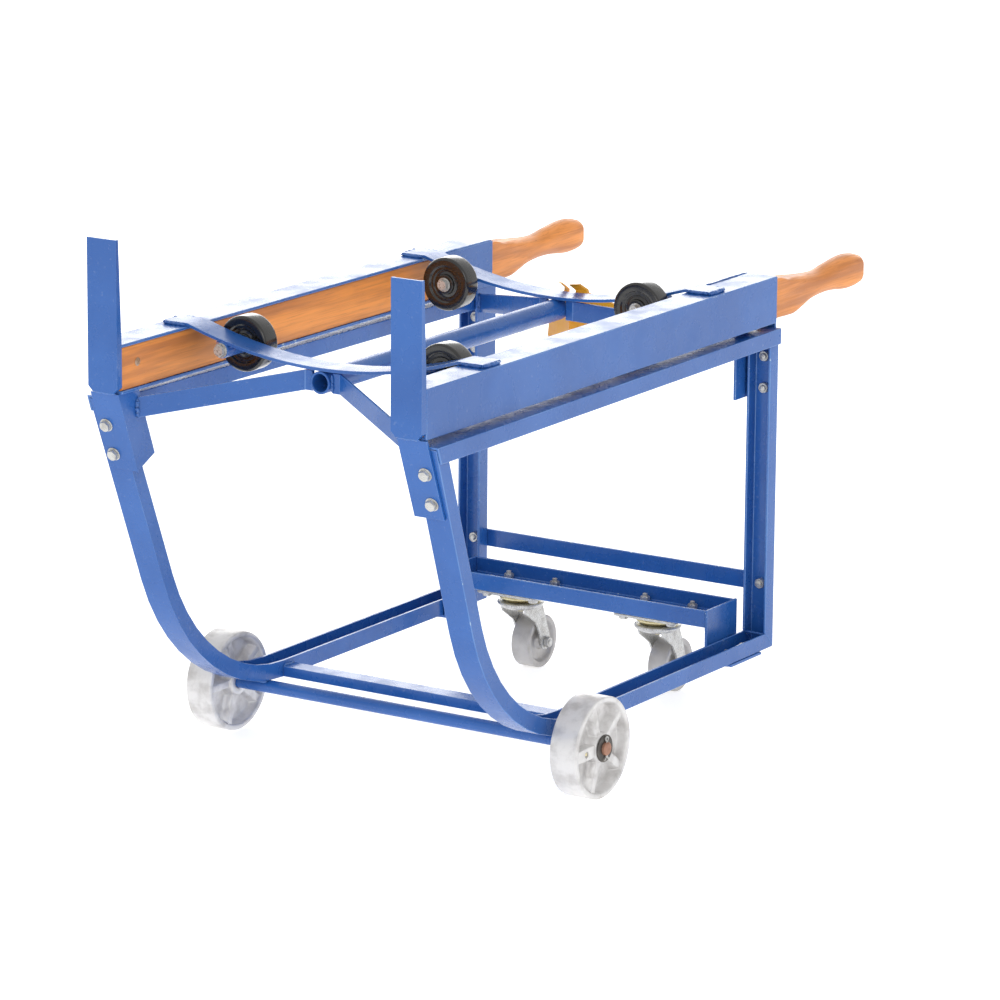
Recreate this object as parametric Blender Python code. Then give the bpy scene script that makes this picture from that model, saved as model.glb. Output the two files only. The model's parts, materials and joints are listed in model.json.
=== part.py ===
"""Drum dolly: a cradle frame on two front wheels and two rear casters.

A drum lies on four phenolic rollers between two channel rails. Two toe plates stand at the front of the
rails and stop its base, and two wooden handles slide into the rails from the back.
Metres, +Z up, +Y towards the handles, +X to the right of a person who faces the handles from the toe plates.
The origin is on the floor under the middle of the whole dolly.
"""

import math

import bmesh
import bpy
from mathutils import Matrix, Vector

# Driving dimensions, all in metres. Lengths along Y are measured from the face of the toe plates.
LENGTH = 1.285
GAP = 0.0003
TOE_TOP = 0.825
RAIL_INNER, RAIL_OUTER = 0.2345, 0.2860
RAIL_BOTTOM, RAIL_TOP = 0.5985, 0.6715
RAIL_FRONT, RAIL_REAR = 0.0125, 0.9870
RAIL_WALL = 0.0048
TOE_WALL, TOE_SEAT, TOE_TIP, TOE_CHAMFER = 0.0040, 0.0120, 0.0058, 0.0080
LOOP_INNER, LOOP_OUTER = 0.2430, 0.2840
LOOP_WALL, LOOP_DEPTH = 0.0040, 0.0250
LOOP_BOTTOM, LOOP_TOP, LOOP_REAR = 0.0845, 0.5892, 0.9980
LOOP_SPLAY = 0.0140
LEG_LEAN = math.radians(20.6)
BEND_RADIUS = 0.3200
BEND_STEPS = 10
BRACKET_WIDTH, BRACKET_WALL, BRACKET_DROP = 0.0495, 0.0045, 0.1210
WHEEL_RADIUS, WHEEL_INNER, WHEEL_OUTER = 0.0762, 0.3008, 0.3462
AXLE_Y, AXLE_RADIUS, AXLE_HALF = 0.3927, 0.0100, 0.3550
COTTER_X, COTTER_RADIUS, COTTER_LENGTH = 0.3522, 0.0018, 0.0360
TUBE_OUTER, TUBE_BORE, TUBE_FRONT, TUBE_REAR = 0.0167, 0.0133, 0.1690, 0.8150
STRAP_WIDTH, STRAP_WALL, STRAP_LOW, STRAP_HALF = 0.0460, 0.0048, 0.6385, 0.2760
STRAP_FRONT, STRAP_BACK = 0.1700, 0.7970
STRAP_SEAT = 0.2335
ROLLER_X, ROLLER_RADIUS, ROLLER_WIDTH, ROLLER_BORE = 0.1720, 0.0415, 0.0320, 0.0052
ROLLER_HUB = 0.0015
BOSS_RADIUS, BOSS_OVERHANG, BOSS_SINK = 0.0120, 0.0020, 0.0015
BRACE_WALL, BRACE_HEIGHT, BRACE_STRAIGHT = 0.0056, 0.0300, 0.0300
REAR_BRACKET_X, REAR_OUTER = 0.2335, 0.2765
CHANNEL_FRONT, CHANNEL_REAR, CHANNEL_HALF = 0.8680, 0.9600, 0.2362
CHANNEL_BOTTOM, CHANNEL_TOP, CHANNEL_WALL = 0.1350, 0.1620, 0.0045
CASTER_X, CASTER_Y, CASTER_TRAIL = 0.1260, 0.9140, 0.0400
CASTER_RADIUS, CASTER_WIDTH = 0.0425, 0.0330
BOLT_RADIUS, BOLT_HOLE = 0.0048, 0.0053
TOP_BAR_LAP, TOP_BAR_WALL = 0.0045, 0.0035
HOOK_RIDGE, HOOK_SLOPE, HOOK_WALL, HOOK_ROD = 0.8460, 0.8750, 0.0060, 0.0110
HOOK_ROD_FRONT, HOOK_ROD_REAR = 0.4000, 0.8580
HOOK_NOTCH, HOOK_NOTCH_LOW, HOOK_REACH = 0.0070, 0.6300, 0.0500

# Heights and levels that follow from the dimensions above.
SEAT_TOP = RAIL_TOP + GAP + STRAP_WALL
TUBE_Z = STRAP_LOW - STRAP_WALL - GAP - TUBE_OUTER
BEND_Z = LOOP_BOTTOM + BEND_RADIUS
BEND_Y = 0.4285
LEAN_Y = BEND_Y - BEND_RADIUS * math.cos(LEG_LEAN)
LEAN_Z = BEND_Z - BEND_RADIUS * math.sin(LEG_LEAN)
LEG_TOP = LOOP_TOP - LOOP_WALL - GAP
SIDES = {"left": -1, "right": 1}

# Corner numbers of the flat pieces that make up the end of a channel section and of an angle section.
CHANNEL_ENDS = ((0, 1, 4, 5), (1, 2, 3, 4), (7, 0, 5, 6))
ANGLE_ENDS = ((0, 1, 2, 3), (0, 3, 4, 5))

# Colours are linear red, green and blue; each finish is (colour, roughness, metallic).
FINISHES = {
    "blue_paint": ((0.040, 0.150, 0.520), 0.35, 0.0),
    "yellow_paint": ((0.850, 0.360, 0.010), 0.40, 0.0),
    "oiled_wood": ((0.760, 0.300, 0.090), 0.55, 0.0),
    "black_phenolic": ((0.010, 0.008, 0.007), 0.25, 0.0),
    "cast_iron": ((0.520, 0.510, 0.490), 0.45, 0.8),
    "zinc_plate": ((0.700, 0.700, 0.660), 0.30, 1.0),
}


def strap_height(x):
    """Top of a cradle strap at a distance x from the middle: a shallow parabola, flat over the rails."""
    share = min(abs(x) / STRAP_SEAT, 1.0)
    return STRAP_LOW + (SEAT_TOP - STRAP_LOW) * share * share


ROLLER_Z = strap_height(ROLLER_X) - STRAP_WALL - BOSS_RADIUS + BOSS_SINK


def leg_face(z):
    """Y of the leaning leg's front face at height z."""
    return LEAN_Y - (z - LEAN_Z) * math.tan(LEG_LEAN)


def clear_scene():
    """Remove whatever the open file holds."""
    for obj in list(bpy.data.objects):
        bpy.data.objects.remove(obj, do_unlink=True)


def make_material(name):
    """One Principled material for a finish."""
    colour, roughness, metallic = FINISHES[name]
    material = bpy.data.materials.new(name)
    material.use_nodes = True
    shader = material.node_tree.nodes["Principled BSDF"]
    shader.inputs["Base Color"].default_value = (*colour, 1.0)
    shader.inputs["Roughness"].default_value = roughness
    shader.inputs["Metallic"].default_value = metallic
    return material


def add_object(name, mesh, finish, smooth=False):
    """Link a mesh as an object under the dolly's empty."""
    if smooth:
        mesh.shade_smooth()
        mesh.set_sharp_from_angle(angle=math.radians(35))
    obj = bpy.data.objects.new(name, mesh)
    bpy.context.scene.collection.objects.link(obj)
    obj.parent = bpy.data.objects["dolly"]
    if finish:
        if not mesh.materials:
            mesh.materials.append(bpy.data.materials[finish])
    else:
        obj.hide_render = True
        obj.display_type = "WIRE"
    return obj


def mesh_from(bm, name):
    """Turn a bmesh into a mesh whose faces point out."""
    bmesh.ops.recalc_face_normals(bm, faces=bm.faces)
    if bm.calc_volume(signed=True) < 0:
        bmesh.ops.reverse_faces(bm, faces=bm.faces)
    mesh = bpy.data.meshes.new(name)
    bm.to_mesh(mesh)
    bm.free()
    return mesh


def loft(name, rings, ends=None):
    """Closed solid through rings of points of one count; `ends` splits its end faces into flat pieces."""
    bm = bmesh.new()
    loops = [[bm.verts.new(point) for point in ring] for ring in rings]
    count = len(loops[0])
    for low, high in zip(loops, loops[1:]):
        for i in range(count):
            j = (i + 1) % count
            bm.faces.new((low[i], low[j], high[j], high[i]))
    for piece in ends or (tuple(range(count)),):
        bm.faces.new([loops[0][i] for i in piece])
        bm.faces.new([loops[-1][i] for i in reversed(piece)])
    return mesh_from(bm, name)


def prism_x(name, outline, low, high, ends=None):
    """Outline of (y, z) points extruded along X."""
    return loft(name, [[(x, y, z) for y, z in outline] for x in (low, high)], ends)


def prism_y(name, outline, low, high, ends=None):
    """Outline of (x, z) points extruded along Y."""
    return loft(name, [[(x, y, z) for x, z in outline] for y in (low, high)], ends)


def turned(name, profile, steps, bore=0.0):
    """Solid of revolution about local Z from (radius, z) points, with an optional straight bore."""
    bm = bmesh.new()
    inner = [(bore, profile[-1][1]), (bore, profile[0][1])] if bore else []
    points = profile + inner
    rings = []
    for k in range(steps):
        angle = 2 * math.pi * k / steps
        rings.append([bm.verts.new((r * math.cos(angle), r * math.sin(angle), z)) for r, z in points])
    for a, b in zip(rings, rings[1:] + rings[:1]):
        for i in range(len(points) - (0 if bore else 1)):
            j = (i + 1) % len(points)
            bm.faces.new((a[i], b[i], b[j], a[j]))
    if not bore:
        bm.faces.new([ring[0] for ring in rings])
        bm.faces.new([ring[-1] for ring in reversed(rings)])
    return mesh_from(bm, name)


def stacked(name, stations, steps=12):
    """Bolt-like solid about local Z; each station is (z, radius, is_hex)."""
    rings = []
    for z, radius, is_hex in stations:
        ring = []
        for k in range(steps):
            angle = 2 * math.pi * k / steps
            flat = math.cos(math.pi / 6) if is_hex and k % 2 else 1.0
            ring.append((radius * flat * math.cos(angle), radius * flat * math.sin(angle), z))
        rings.append(ring)
    return loft(name, rings)


def boolean(obj, other, operation="DIFFERENCE", solver="EXACT"):
    """Cut or join with a hidden solid."""
    modifier = obj.modifiers.new(operation.lower(), "BOOLEAN")
    modifier.operation = operation
    modifier.solver = solver
    modifier.object = other
    return obj


def drill(obj, name, centre, axis, radius, length, solver="EXACT"):
    """Cut a round hole through an object, centred on a point."""
    cutter = add_object(name, turned(name, [(radius, length / 2), (radius, -length / 2)], 12), None)
    cutter.location = centre
    cutter.rotation_euler = Vector(axis).to_track_quat("Z", "Y").to_euler()
    return boolean(obj, cutter, solver=solver)


def channel_outline(inner, outer, web, depth, wall):
    """C-section as (across, along) points: web at `web`, flanges running by `depth` from it."""
    step = math.copysign(wall, depth)
    return [
        (inner, web), (outer, web), (outer, web + depth), (outer - wall, web + depth),
        (outer - wall, web + step), (inner + wall, web + step), (inner + wall, web + depth),
        (inner, web + depth),
    ]


def mirrored(points, side):
    """Flip the X of points for the left side."""
    return [(side * x, y, z) for x, y, z in points]


def build_rail(tag, side):
    """Channel rail, its web outside and its flanges pointing in."""
    inner, outer = RAIL_INNER, RAIL_OUTER
    low, high, wall = RAIL_BOTTOM, RAIL_TOP, RAIL_WALL
    outline = [
        (outer, low), (outer, high), (inner, high), (inner, high - wall),
        (outer - wall, high - wall), (outer - wall, low + wall), (inner, low + wall), (inner, low),
    ]
    outline = [(side * x, z) for x, z in outline]
    mesh = prism_y("side_rail", outline, RAIL_FRONT, RAIL_REAR, CHANNEL_ENDS)
    add_object(f"side_rail_{tag}", mesh, "blue_paint")


def build_keeper(tag, side):
    """Cover plate welded over the open side of a rail at its rear end."""
    x_low, x_high = RAIL_INNER - GAP - 0.004, RAIL_INNER - GAP
    outline = [(0.844, 0.599), (RAIL_REAR, 0.599), (RAIL_REAR, 0.671), (0.844, 0.671)]
    mesh = prism_x("handle_keeper", outline, side * x_low, side * x_high)
    add_object(f"handle_keeper_{tag}", mesh, "blue_paint")


def handle_section(y, low, high, half, centre, corner):
    """Rounded cross-section of the wooden handle at one station."""
    ring = []
    mid, tall = (low + high) / 2, (high - low) / 2
    corner = min(corner, tall, half)
    for quarter in range(4):
        sx = 1 if quarter in (0, 3) else -1
        sz = 1 if quarter in (0, 1) else -1
        for k in range(3):
            angle = math.pi / 2 * (quarter + k / 2)
            x = centre + sx * (half - corner) + corner * math.cos(angle)
            z = mid + sz * (tall - corner) + corner * math.sin(angle)
            ring.append((x, y, z))
    return ring


def build_wood_handle(tag, side):
    """Wooden beam that fills the rail and ends in a shaped grip behind it."""
    centre = (0.2366 + 0.2808) / 2
    stations = [
        (0.0135, 0.6036, 0.6664, 0.0221, 0.0015), (0.9850, 0.6036, 0.6664, 0.0221, 0.0015),
        (1.0100, 0.6030, 0.6650, 0.0220, 0.0030), (1.0370, 0.6010, 0.6590, 0.0215, 0.0060),
        (1.0580, 0.6000, 0.6575, 0.0210, 0.0090), (1.0800, 0.6030, 0.6555, 0.0200, 0.0120),
        (1.1140, 0.6100, 0.6525, 0.0190, 0.0150), (1.1500, 0.6130, 0.6515, 0.0185, 0.0170),
        (1.1900, 0.6130, 0.6570, 0.0190, 0.0180), (1.2380, 0.6080, 0.6620, 0.0195, 0.0180),
        (1.2640, 0.6085, 0.6605, 0.0190, 0.0180), (1.2790, 0.6110, 0.6565, 0.0175, 0.0150),
        (LENGTH, 0.6170, 0.6500, 0.0130, 0.0110),
    ]
    rings = [mirrored(handle_section(y, lo, hi, half, centre, r), side) for y, lo, hi, half, r in stations]
    add_object(f"wood_handle_{tag}", loft("wood_handle", rings), "oiled_wood", smooth=True)


def build_toe_plate(tag, side):
    """Upright channel whose side flanges taper to nothing at the top."""
    low, wall, cut = RAIL_BOTTOM + 0.0025, TOE_WALL, TOE_CHAMFER
    stations = (
        (low, wall + GAP, cut), (low + cut, TOE_SEAT, 0.0), (RAIL_TOP, TOE_SEAT, 0.0), (TOE_TOP, TOE_TIP, 0.0),
    )
    rings = []
    for z, depth, inset in stations:
        section = channel_outline(RAIL_INNER + inset, RAIL_OUTER - inset, 0.0, depth, wall)
        rings.append(mirrored([(x, y, z) for x, y in section], side))
    add_object(f"toe_plate_{tag}", loft("toe_plate", rings, CHANNEL_ENDS), "blue_paint")


def build_front_bracket(tag, side):
    """Angle that leans with the leg and hangs from the front end of the rail."""
    inner, wall, width = 0.2390, BRACKET_WALL, BRACKET_WIDTH
    offset = (wall + 0.0005) / math.cos(LEG_LEAN)
    section = [(0, 0), (width, 0), (width, wall), (wall, wall), (wall, width), (0, width)]
    low, high = RAIL_BOTTOM - GAP - BRACKET_DROP, RAIL_BOTTOM - GAP
    rings = []
    for level, rise in ((low, 0.45), (high, 0.0)):
        ring = []
        for across, along in section:
            z = level + rise * max(along - wall, 0.0)
            ring.append((inner + across, leg_face(z) - offset + along, z))
        rings.append(mirrored(ring, side))
    bracket = add_object(f"front_bracket_{tag}", loft("front_bracket", rings, ANGLE_ENDS), "blue_paint")
    return drill_front_bolts(bracket, tag, side)


def front_bolt_places(side):
    """Centres of the two bolts that hold a leg to its bracket."""
    return [(side * 0.2745, leg_face(z), z) for z in (0.5490, 0.5030)]


def drill_front_bolts(obj, tag, side):
    """Bolt holes along the normal of the leaning leg."""
    axis = (0, math.cos(LEG_LEAN), math.sin(LEG_LEAN))
    for i, place in enumerate(front_bolt_places(side)):
        drill(obj, f"hole_{obj.name}_{i}", place, axis, BOLT_HOLE, 0.040)
    return obj


def build_rear_bracket(tag, side):
    """Angle that hangs from the rear end of the rail behind the rear leg."""
    inner, wall = REAR_BRACKET_X, BRACKET_WALL
    back, outer = LOOP_REAR + 0.0005 + wall, REAR_OUTER
    section = [
        (inner, back), (outer, back), (outer, back - wall), (inner + wall, back - wall),
        (inner + wall, 0.948), (inner, 0.948),
    ]
    low, high = 0.4780, RAIL_BOTTOM - GAP
    rings = [mirrored([(x, y, z) for x, y in section], side) for z in (low, high)]
    add_object(f"rear_bracket_{tag}", loft("rear_bracket", rings, ANGLE_ENDS), "blue_paint")


def splay(z):
    """Outward lean of the front leg, zero at the bottom bar and full at the top bar."""
    return LOOP_SPLAY * (z - LOOP_BOTTOM) / (LOOP_TOP - LOOP_BOTTOM)


def loop_ring(y, z, angle, side):
    """C-section whose web faces away from the loop; angle 0 faces down, 90 degrees faces forward."""
    out_y, out_z = -math.sin(angle), -math.cos(angle)
    ring = []
    for across, depth in channel_outline(LOOP_INNER, LOOP_OUTER, 0.0, LOOP_DEPTH, LOOP_WALL):
        height = z - depth * out_z
        ring.append((across + splay(height), y - depth * out_y, height))
    return mirrored(ring, side)


def build_front_leg(tag, side):
    """Formed channel: leaning leg, large bend and bottom bar in one piece."""
    top = []
    slant = math.cos(LEG_LEAN)
    for across, depth in channel_outline(LOOP_INNER, LOOP_OUTER, 0.0, LOOP_DEPTH, LOOP_WALL):
        top.append((across + splay(LEG_TOP), leg_face(LEG_TOP) + depth / slant, LEG_TOP))
    rings = [mirrored(top, side)]
    for k in range(BEND_STEPS + 1):
        angle = (math.pi / 2 - LEG_LEAN) * (1 - k / BEND_STEPS)
        y = BEND_Y - BEND_RADIUS * math.sin(angle)
        z = BEND_Z - BEND_RADIUS * math.cos(angle)
        rings.append(loop_ring(y, z, angle, side))
    last = loop_ring(LOOP_REAR - GAP, LOOP_BOTTOM, 0.0, side)
    rings.append([(x, y - (z - LOOP_BOTTOM), z) for x, y, z in last])
    leg = add_object(f"front_leg_{tag}", loft("front_leg", rings, CHANNEL_ENDS), "blue_paint")
    return drill_front_bolts(leg, tag, side)


def build_rear_leg(tag, side):
    """Upright channel, mitred to the bottom bar."""
    section = channel_outline(LOOP_INNER, LOOP_OUTER, LOOP_REAR, -LOOP_DEPTH, LOOP_WALL)
    foot = [(x, y, LOOP_BOTTOM + GAP + LOOP_REAR - y) for x, y in section]
    head = [(x, y, LEG_TOP) for x, y in section]
    rings = [mirrored(foot, side), mirrored(head, side)]
    add_object(f"rear_leg_{tag}", loft("rear_leg", rings, CHANNEL_ENDS), "blue_paint")


def build_top_bar(tag, side):
    """Channel, open downwards, that closes the loop under the rail; its front end is splayed out."""
    inner, outer = LOOP_INNER - TOP_BAR_LAP, LOOP_OUTER + TOP_BAR_LAP
    section = channel_outline(inner, outer, LOOP_TOP, -LOOP_DEPTH, TOP_BAR_WALL)
    front = [(x + splay(LEG_TOP - LOOP_DEPTH / 2), leg_face(z), z) for x, z in section]
    rear = [(x, LOOP_REAR, z) for x, z in section]
    rings = [mirrored(front, side), mirrored(rear, side)]
    add_object(f"top_bar_{tag}", loft("top_bar", rings, CHANNEL_ENDS), "blue_paint")


def strap_outline():
    """Side view of a cradle strap as (x, z) points, one wall thick all along."""
    count = 16
    xs = [STRAP_SEAT * (2 * k / count - 1) for k in range(count + 1)]
    xs = [-STRAP_HALF] + xs + [STRAP_HALF]
    top = [(x, strap_height(x)) for x in xs]
    return top + [(x, z - STRAP_WALL) for x, z in reversed(top)]


def build_strap(tag, front):
    """Curved flat bar with two boss tubes welded under it."""
    mesh = prism_y("cradle_strap", strap_outline(), front, front + STRAP_WIDTH)
    strap = add_object(f"cradle_strap_{tag}", mesh, "blue_paint")
    length = STRAP_WIDTH + 2 * BOSS_OVERHANG
    middle = front + STRAP_WIDTH / 2
    for name, side in SIDES.items():
        boss = turned("boss", [(BOSS_RADIUS, length / 2), (BOSS_RADIUS, -length / 2)], 20)
        boss_object = add_object(f"boss_{tag}_{name}", boss, None)
        boss_object.location = (side * ROLLER_X, middle, ROLLER_Z)
        boss_object.rotation_euler = (math.pi / 2, 0, 0)
        boolean(strap, boss_object, "UNION")
        centre = (side * ROLLER_X, middle, ROLLER_Z)
        drill(strap, f"boss_bore_{tag}_{name}", centre, (0, 1, 0), BOLT_HOLE, 0.06)


def roller_mesh():
    """Phenolic roller with a raised hub and rounded tread, about local Z."""
    half, radius = ROLLER_WIDTH / 2, ROLLER_RADIUS
    face = [
        (0.0110, half + ROLLER_HUB), (0.0130, half - 0.0010), (0.0240, half - 0.0010),
        (0.0260, half), (radius - 0.0030, half), (radius, half - 0.0030),
    ]
    profile = face + [(r, -z) for r, z in reversed(face)]
    return turned("roller", profile, 32, bore=ROLLER_BORE)


def roller_bolt_mesh():
    """Hex bolt, washers and lock nut of a roller, about local Z with the head at +Z."""
    top, low = 0.0530, -0.0470
    stations = [
        (low - 0.0100, 0.0045, False), (low - 0.0080, BOLT_RADIUS, False), (low - 0.0080, 0.0085, True),
        (low, 0.0085, True), (low, 0.0105, False), (low + 0.0016, 0.0105, False),
        (low + 0.0016, BOLT_RADIUS, False), (top - 0.0076, BOLT_RADIUS, False),
        (top - 0.0076, 0.0110, False), (top - 0.0060, 0.0110, False), (top - 0.0060, 0.0090, True),
        (top - 0.0008, 0.0090, True), (top, 0.0078, True),
    ]
    return stacked("roller_bolt", stations)


def build_rollers():
    """Four rollers: behind the front strap and in front of the rear one, on bolts through the bosses."""
    roller = roller_mesh()
    bolt = roller_bolt_mesh()
    clear = ROLLER_WIDTH / 2 + ROLLER_HUB + BOSS_OVERHANG + 0.0020
    places = {"front": (STRAP_FRONT + STRAP_WIDTH + clear, 0.2130), "rear": (STRAP_BACK - clear, 0.8030)}
    for tag, (roller_y, bolt_y) in places.items():
        for name, side in SIDES.items():
            wheel = add_object(f"roller_{tag}_{name}", roller, "black_phenolic", smooth=True)
            wheel.location = (side * ROLLER_X, roller_y, ROLLER_Z)
            wheel.rotation_euler = (math.pi / 2, 0, 0)
            pin = add_object(f"roller_bolt_{tag}_{name}", bolt, "zinc_plate")
            pin.location = (side * ROLLER_X, bolt_y, ROLLER_Z)
            pin.rotation_euler = (math.pi / 2, 0, 0)


def build_centre_tube():
    """Pipe under the two straps, open at both ends."""
    length = TUBE_REAR - TUBE_FRONT
    mesh = turned("centre_tube", [(TUBE_OUTER, length / 2), (TUBE_OUTER, -length / 2)], 24, bore=TUBE_BORE)
    tube = add_object("centre_tube", mesh, "blue_paint", smooth=True)
    tube.location = (0, (TUBE_REAR + TUBE_FRONT) / 2, TUBE_Z)
    tube.rotation_euler = (math.pi / 2, 0, 0)


def build_braces():
    """Flat bars on edge that tie each end of the tube to the brackets, as a V at each end."""
    far_front = (0.2387, 0.0560, 0.5720)
    far_rear = (REAR_BRACKET_X - GAP, 0.9560, 0.5750)
    for tag, tube_y, far in (("front", 0.1790, far_front), ("rear", 0.8100, far_rear)):
        for name, side in SIDES.items():
            rings = []
            for x, y, z in ((TUBE_OUTER + GAP, tube_y, TUBE_Z), (BRACE_STRAIGHT, tube_y, TUBE_Z), far):
                corners = ((-1, -1), (1, -1), (1, 1), (-1, 1))
                ring = [(x, y + a * BRACE_WALL / 2, z + b * BRACE_HEIGHT / 2) for a, b in corners]
                rings.append(mirrored(ring, side))
            add_object(f"v_brace_{tag}_{name}", loft("v_brace", rings), "blue_paint")


def hook_section(z, half, lean):
    """Level cut through the folded hook plate: a V whose ridge points forward."""
    ridge, back = HOOK_RIDGE - lean, half * HOOK_SLOPE
    front = [(-half, ridge + back, z), (0, ridge, z), (half, ridge + back, z)]
    return front + [(x, y + HOOK_WALL, z) for x, y, _ in reversed(front)]


def build_chime_hook():
    """Folded hook plate with two forward-leaning fingers, on a rod that slides in the centre tube."""
    stations = (
        (0.5400, 0.0780, 0.0), (0.5480, 0.0850, 0.0), (0.6000, 0.0750, 0.0), (0.6230, 0.0420, 0.0),
        (0.6350, 0.0210, 0.0), (0.6400, 0.0200, 0.0), (0.6450, 0.0190, 0.0080), (0.6520, 0.0185, 0.0200),
    )
    mesh = loft("chime_hook", [hook_section(*station) for station in stations])
    hook = add_object("chime_hook", mesh, "yellow_paint")
    near, far = HOOK_RIDGE - HOOK_REACH, HOOK_RIDGE + 0.03
    outline = [(near, HOOK_NOTCH_LOW), (far, HOOK_NOTCH_LOW), (far, 0.7000), (near, 0.7000)]
    boolean(hook, add_object("hook_notch", prism_x("hook_notch", outline, -HOOK_NOTCH, HOOK_NOTCH), None))
    length = HOOK_ROD_REAR - HOOK_ROD_FRONT
    rod_mesh = turned("hook_rod", [(HOOK_ROD, length / 2), (HOOK_ROD, -length / 2)], 20)
    rod = add_object("hook_rod", rod_mesh, None)
    rod.location = (0, (HOOK_ROD_REAR + HOOK_ROD_FRONT) / 2, TUBE_Z)
    rod.rotation_euler = (math.pi / 2, 0, 0)
    boolean(hook, rod, "UNION")


def wheel_mesh():
    """Cast wheel about local Z: rim, sunken web, hub and bore; +Z is the outer face."""
    half, radius = (WHEEL_OUTER - WHEEL_INNER) / 2, WHEEL_RADIUS
    face = [
        (0.0190, half), (0.0215, half - 0.0020), (0.0240, 0.0060), (0.0620, 0.0050),
        (0.0665, half - 0.0040), (0.0690, half), (radius - 0.0015, half), (radius, half - 0.0020),
    ]
    profile = face + [(r, -z) for r, z in reversed(face)]
    return turned("front_wheel", profile, 40, bore=AXLE_RADIUS + 0.0003)


def build_front_wheels():
    """Axle, the two cast wheels with their ribs, and the washers that keep them on."""
    axle_mesh = turned("front_axle", [(AXLE_RADIUS, AXLE_HALF), (AXLE_RADIUS, -AXLE_HALF)], 20)
    axle = add_object("front_axle", axle_mesh, "blue_paint", smooth=True)
    axle.location = (0, AXLE_Y, WHEEL_RADIUS)
    axle.rotation_euler = (0, math.pi / 2, 0)
    half = (WHEEL_OUTER - WHEEL_INNER) / 2
    ribs = 5
    washer_mesh = turned("axle_washer", [(0.0205, 0.0015), (0.0205, -0.0015)], 20, bore=AXLE_RADIUS + GAP)
    cotter_profile = [(COTTER_RADIUS, COTTER_LENGTH / 2), (COTTER_RADIUS, -COTTER_LENGTH / 2)]
    cotter_mesh = turned("cotter_pin", cotter_profile, 12)
    for name, side in SIDES.items():
        wheel = add_object(f"front_wheel_{name}", wheel_mesh(), "cast_iron", smooth=True)
        wheel.location = (side * (WHEEL_OUTER + WHEEL_INNER) / 2, AXLE_Y, WHEEL_RADIUS)
        wheel.rotation_euler = (0, side * math.pi / 2, 0)
        for k in range(ribs):
            outline = [(0.0220, -0.0040), (0.0680, -0.0040), (0.0680, 0.0040), (0.0220, 0.0040)]
            rings = [[(x, y, z) for x, y in outline] for z in (0.0035 - half, half - 0.0035)]
            rib = add_object(f"rib_{name}_{k}", loft("rib", rings), None)
            turn = Matrix.Rotation(2 * math.pi * k / ribs, 4, "Z")
            rib.parent = wheel
            rib.matrix_local = turn
            boolean(wheel, rib, "UNION")
        washer = add_object(f"axle_washer_{name}", washer_mesh, "zinc_plate", smooth=True)
        washer.location = (side * (WHEEL_OUTER + 0.0022), AXLE_Y, WHEEL_RADIUS)
        washer.rotation_euler = (0, side * math.pi / 2, 0)
        place = (side * COTTER_X, AXLE_Y, WHEEL_RADIUS)
        drill(axle, f"cotter_hole_{name}", place, (0, 0, 1), COTTER_RADIUS + GAP, 0.0600, "MANIFOLD")
        pin = add_object(f"cotter_pin_{name}", cotter_mesh, "zinc_plate", smooth=True)
        pin.location = place


def build_cross_bars():
    """Small angle between the bottom bars behind the axle, and the bar bolted across the rear legs."""
    front, rear, low, high, wall = 0.4250, 0.4550, 0.0850, 0.1010, 0.0035
    outline = [
        (front, high), (rear, high), (rear, high - wall), (front + wall, high - wall), (front + wall, low),
        (front, low),
    ]
    half = LOOP_INNER - GAP
    mesh = prism_x("front_cross_bar", outline, -half, half, ANGLE_ENDS)
    add_object("front_cross_bar", mesh, "blue_paint")
    low, high, near, far = 0.1700, 0.1980, LOOP_REAR + 0.0005, LOOP_REAR + 0.0053
    outline = [(near, low), (far, low), (far, high), (near, high)]
    mesh = prism_x("rear_cross_bar", outline, -REAR_OUTER, REAR_OUTER)
    add_object("rear_cross_bar", mesh, "blue_paint")


def build_caster_channel():
    """Channel that carries the casters, and the end brackets that hold it under the bottom bars."""
    front, rear, wall = CHANNEL_FRONT, CHANNEL_REAR, CHANNEL_WALL
    section = channel_outline(front, rear, CHANNEL_BOTTOM, CHANNEL_TOP - CHANNEL_BOTTOM, wall)
    mesh = prism_x("caster_channel", section, -CHANNEL_HALF, CHANNEL_HALF, CHANNEL_ENDS)
    add_object("caster_channel", mesh, "blue_paint")
    inner, outer, under = CHANNEL_HALF + GAP, 0.2860, LOOP_BOTTOM - GAP
    for name, side in SIDES.items():
        outline = [
            (inner, under - wall), (outer, under - wall), (outer, under), (inner + wall, under),
            (inner + wall, CHANNEL_TOP + 0.001), (inner, CHANNEL_TOP + 0.001),
        ]
        outline = [(side * x, z) for x, z in outline]
        mesh = prism_y("channel_end", outline, front, rear, ANGLE_ENDS)
        add_object(f"channel_end_{name}", mesh, "blue_paint")


def build_caster_plate(tag, side):
    """Top plate of a caster with its ball race and kingpin."""
    top = CHANNEL_BOTTOM - GAP
    half_x, half_y = 0.0560, 0.0460
    outline = [(-half_x, top - 0.004), (half_x, top - 0.004), (half_x, top), (-half_x, top)]
    outline = [(side * CASTER_X + x, z) for x, z in outline]
    mesh = prism_y("caster_plate", outline, CASTER_Y - half_y, CASTER_Y + half_y)
    plate = add_object(f"caster_plate_{tag}", mesh, "zinc_plate")
    profile = [(0.0290, top - 0.003), (0.0330, top - 0.008), (0.0330, top - 0.014), (0.0280, top - 0.0170),
               (0.0060, top - 0.0170), (0.0060, 0.1020)]
    race = add_object(f"caster_race_{tag}", turned("caster_race", profile, 24), None)
    race.location = (side * CASTER_X, CASTER_Y, 0)
    boolean(plate, race, "UNION")


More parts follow.
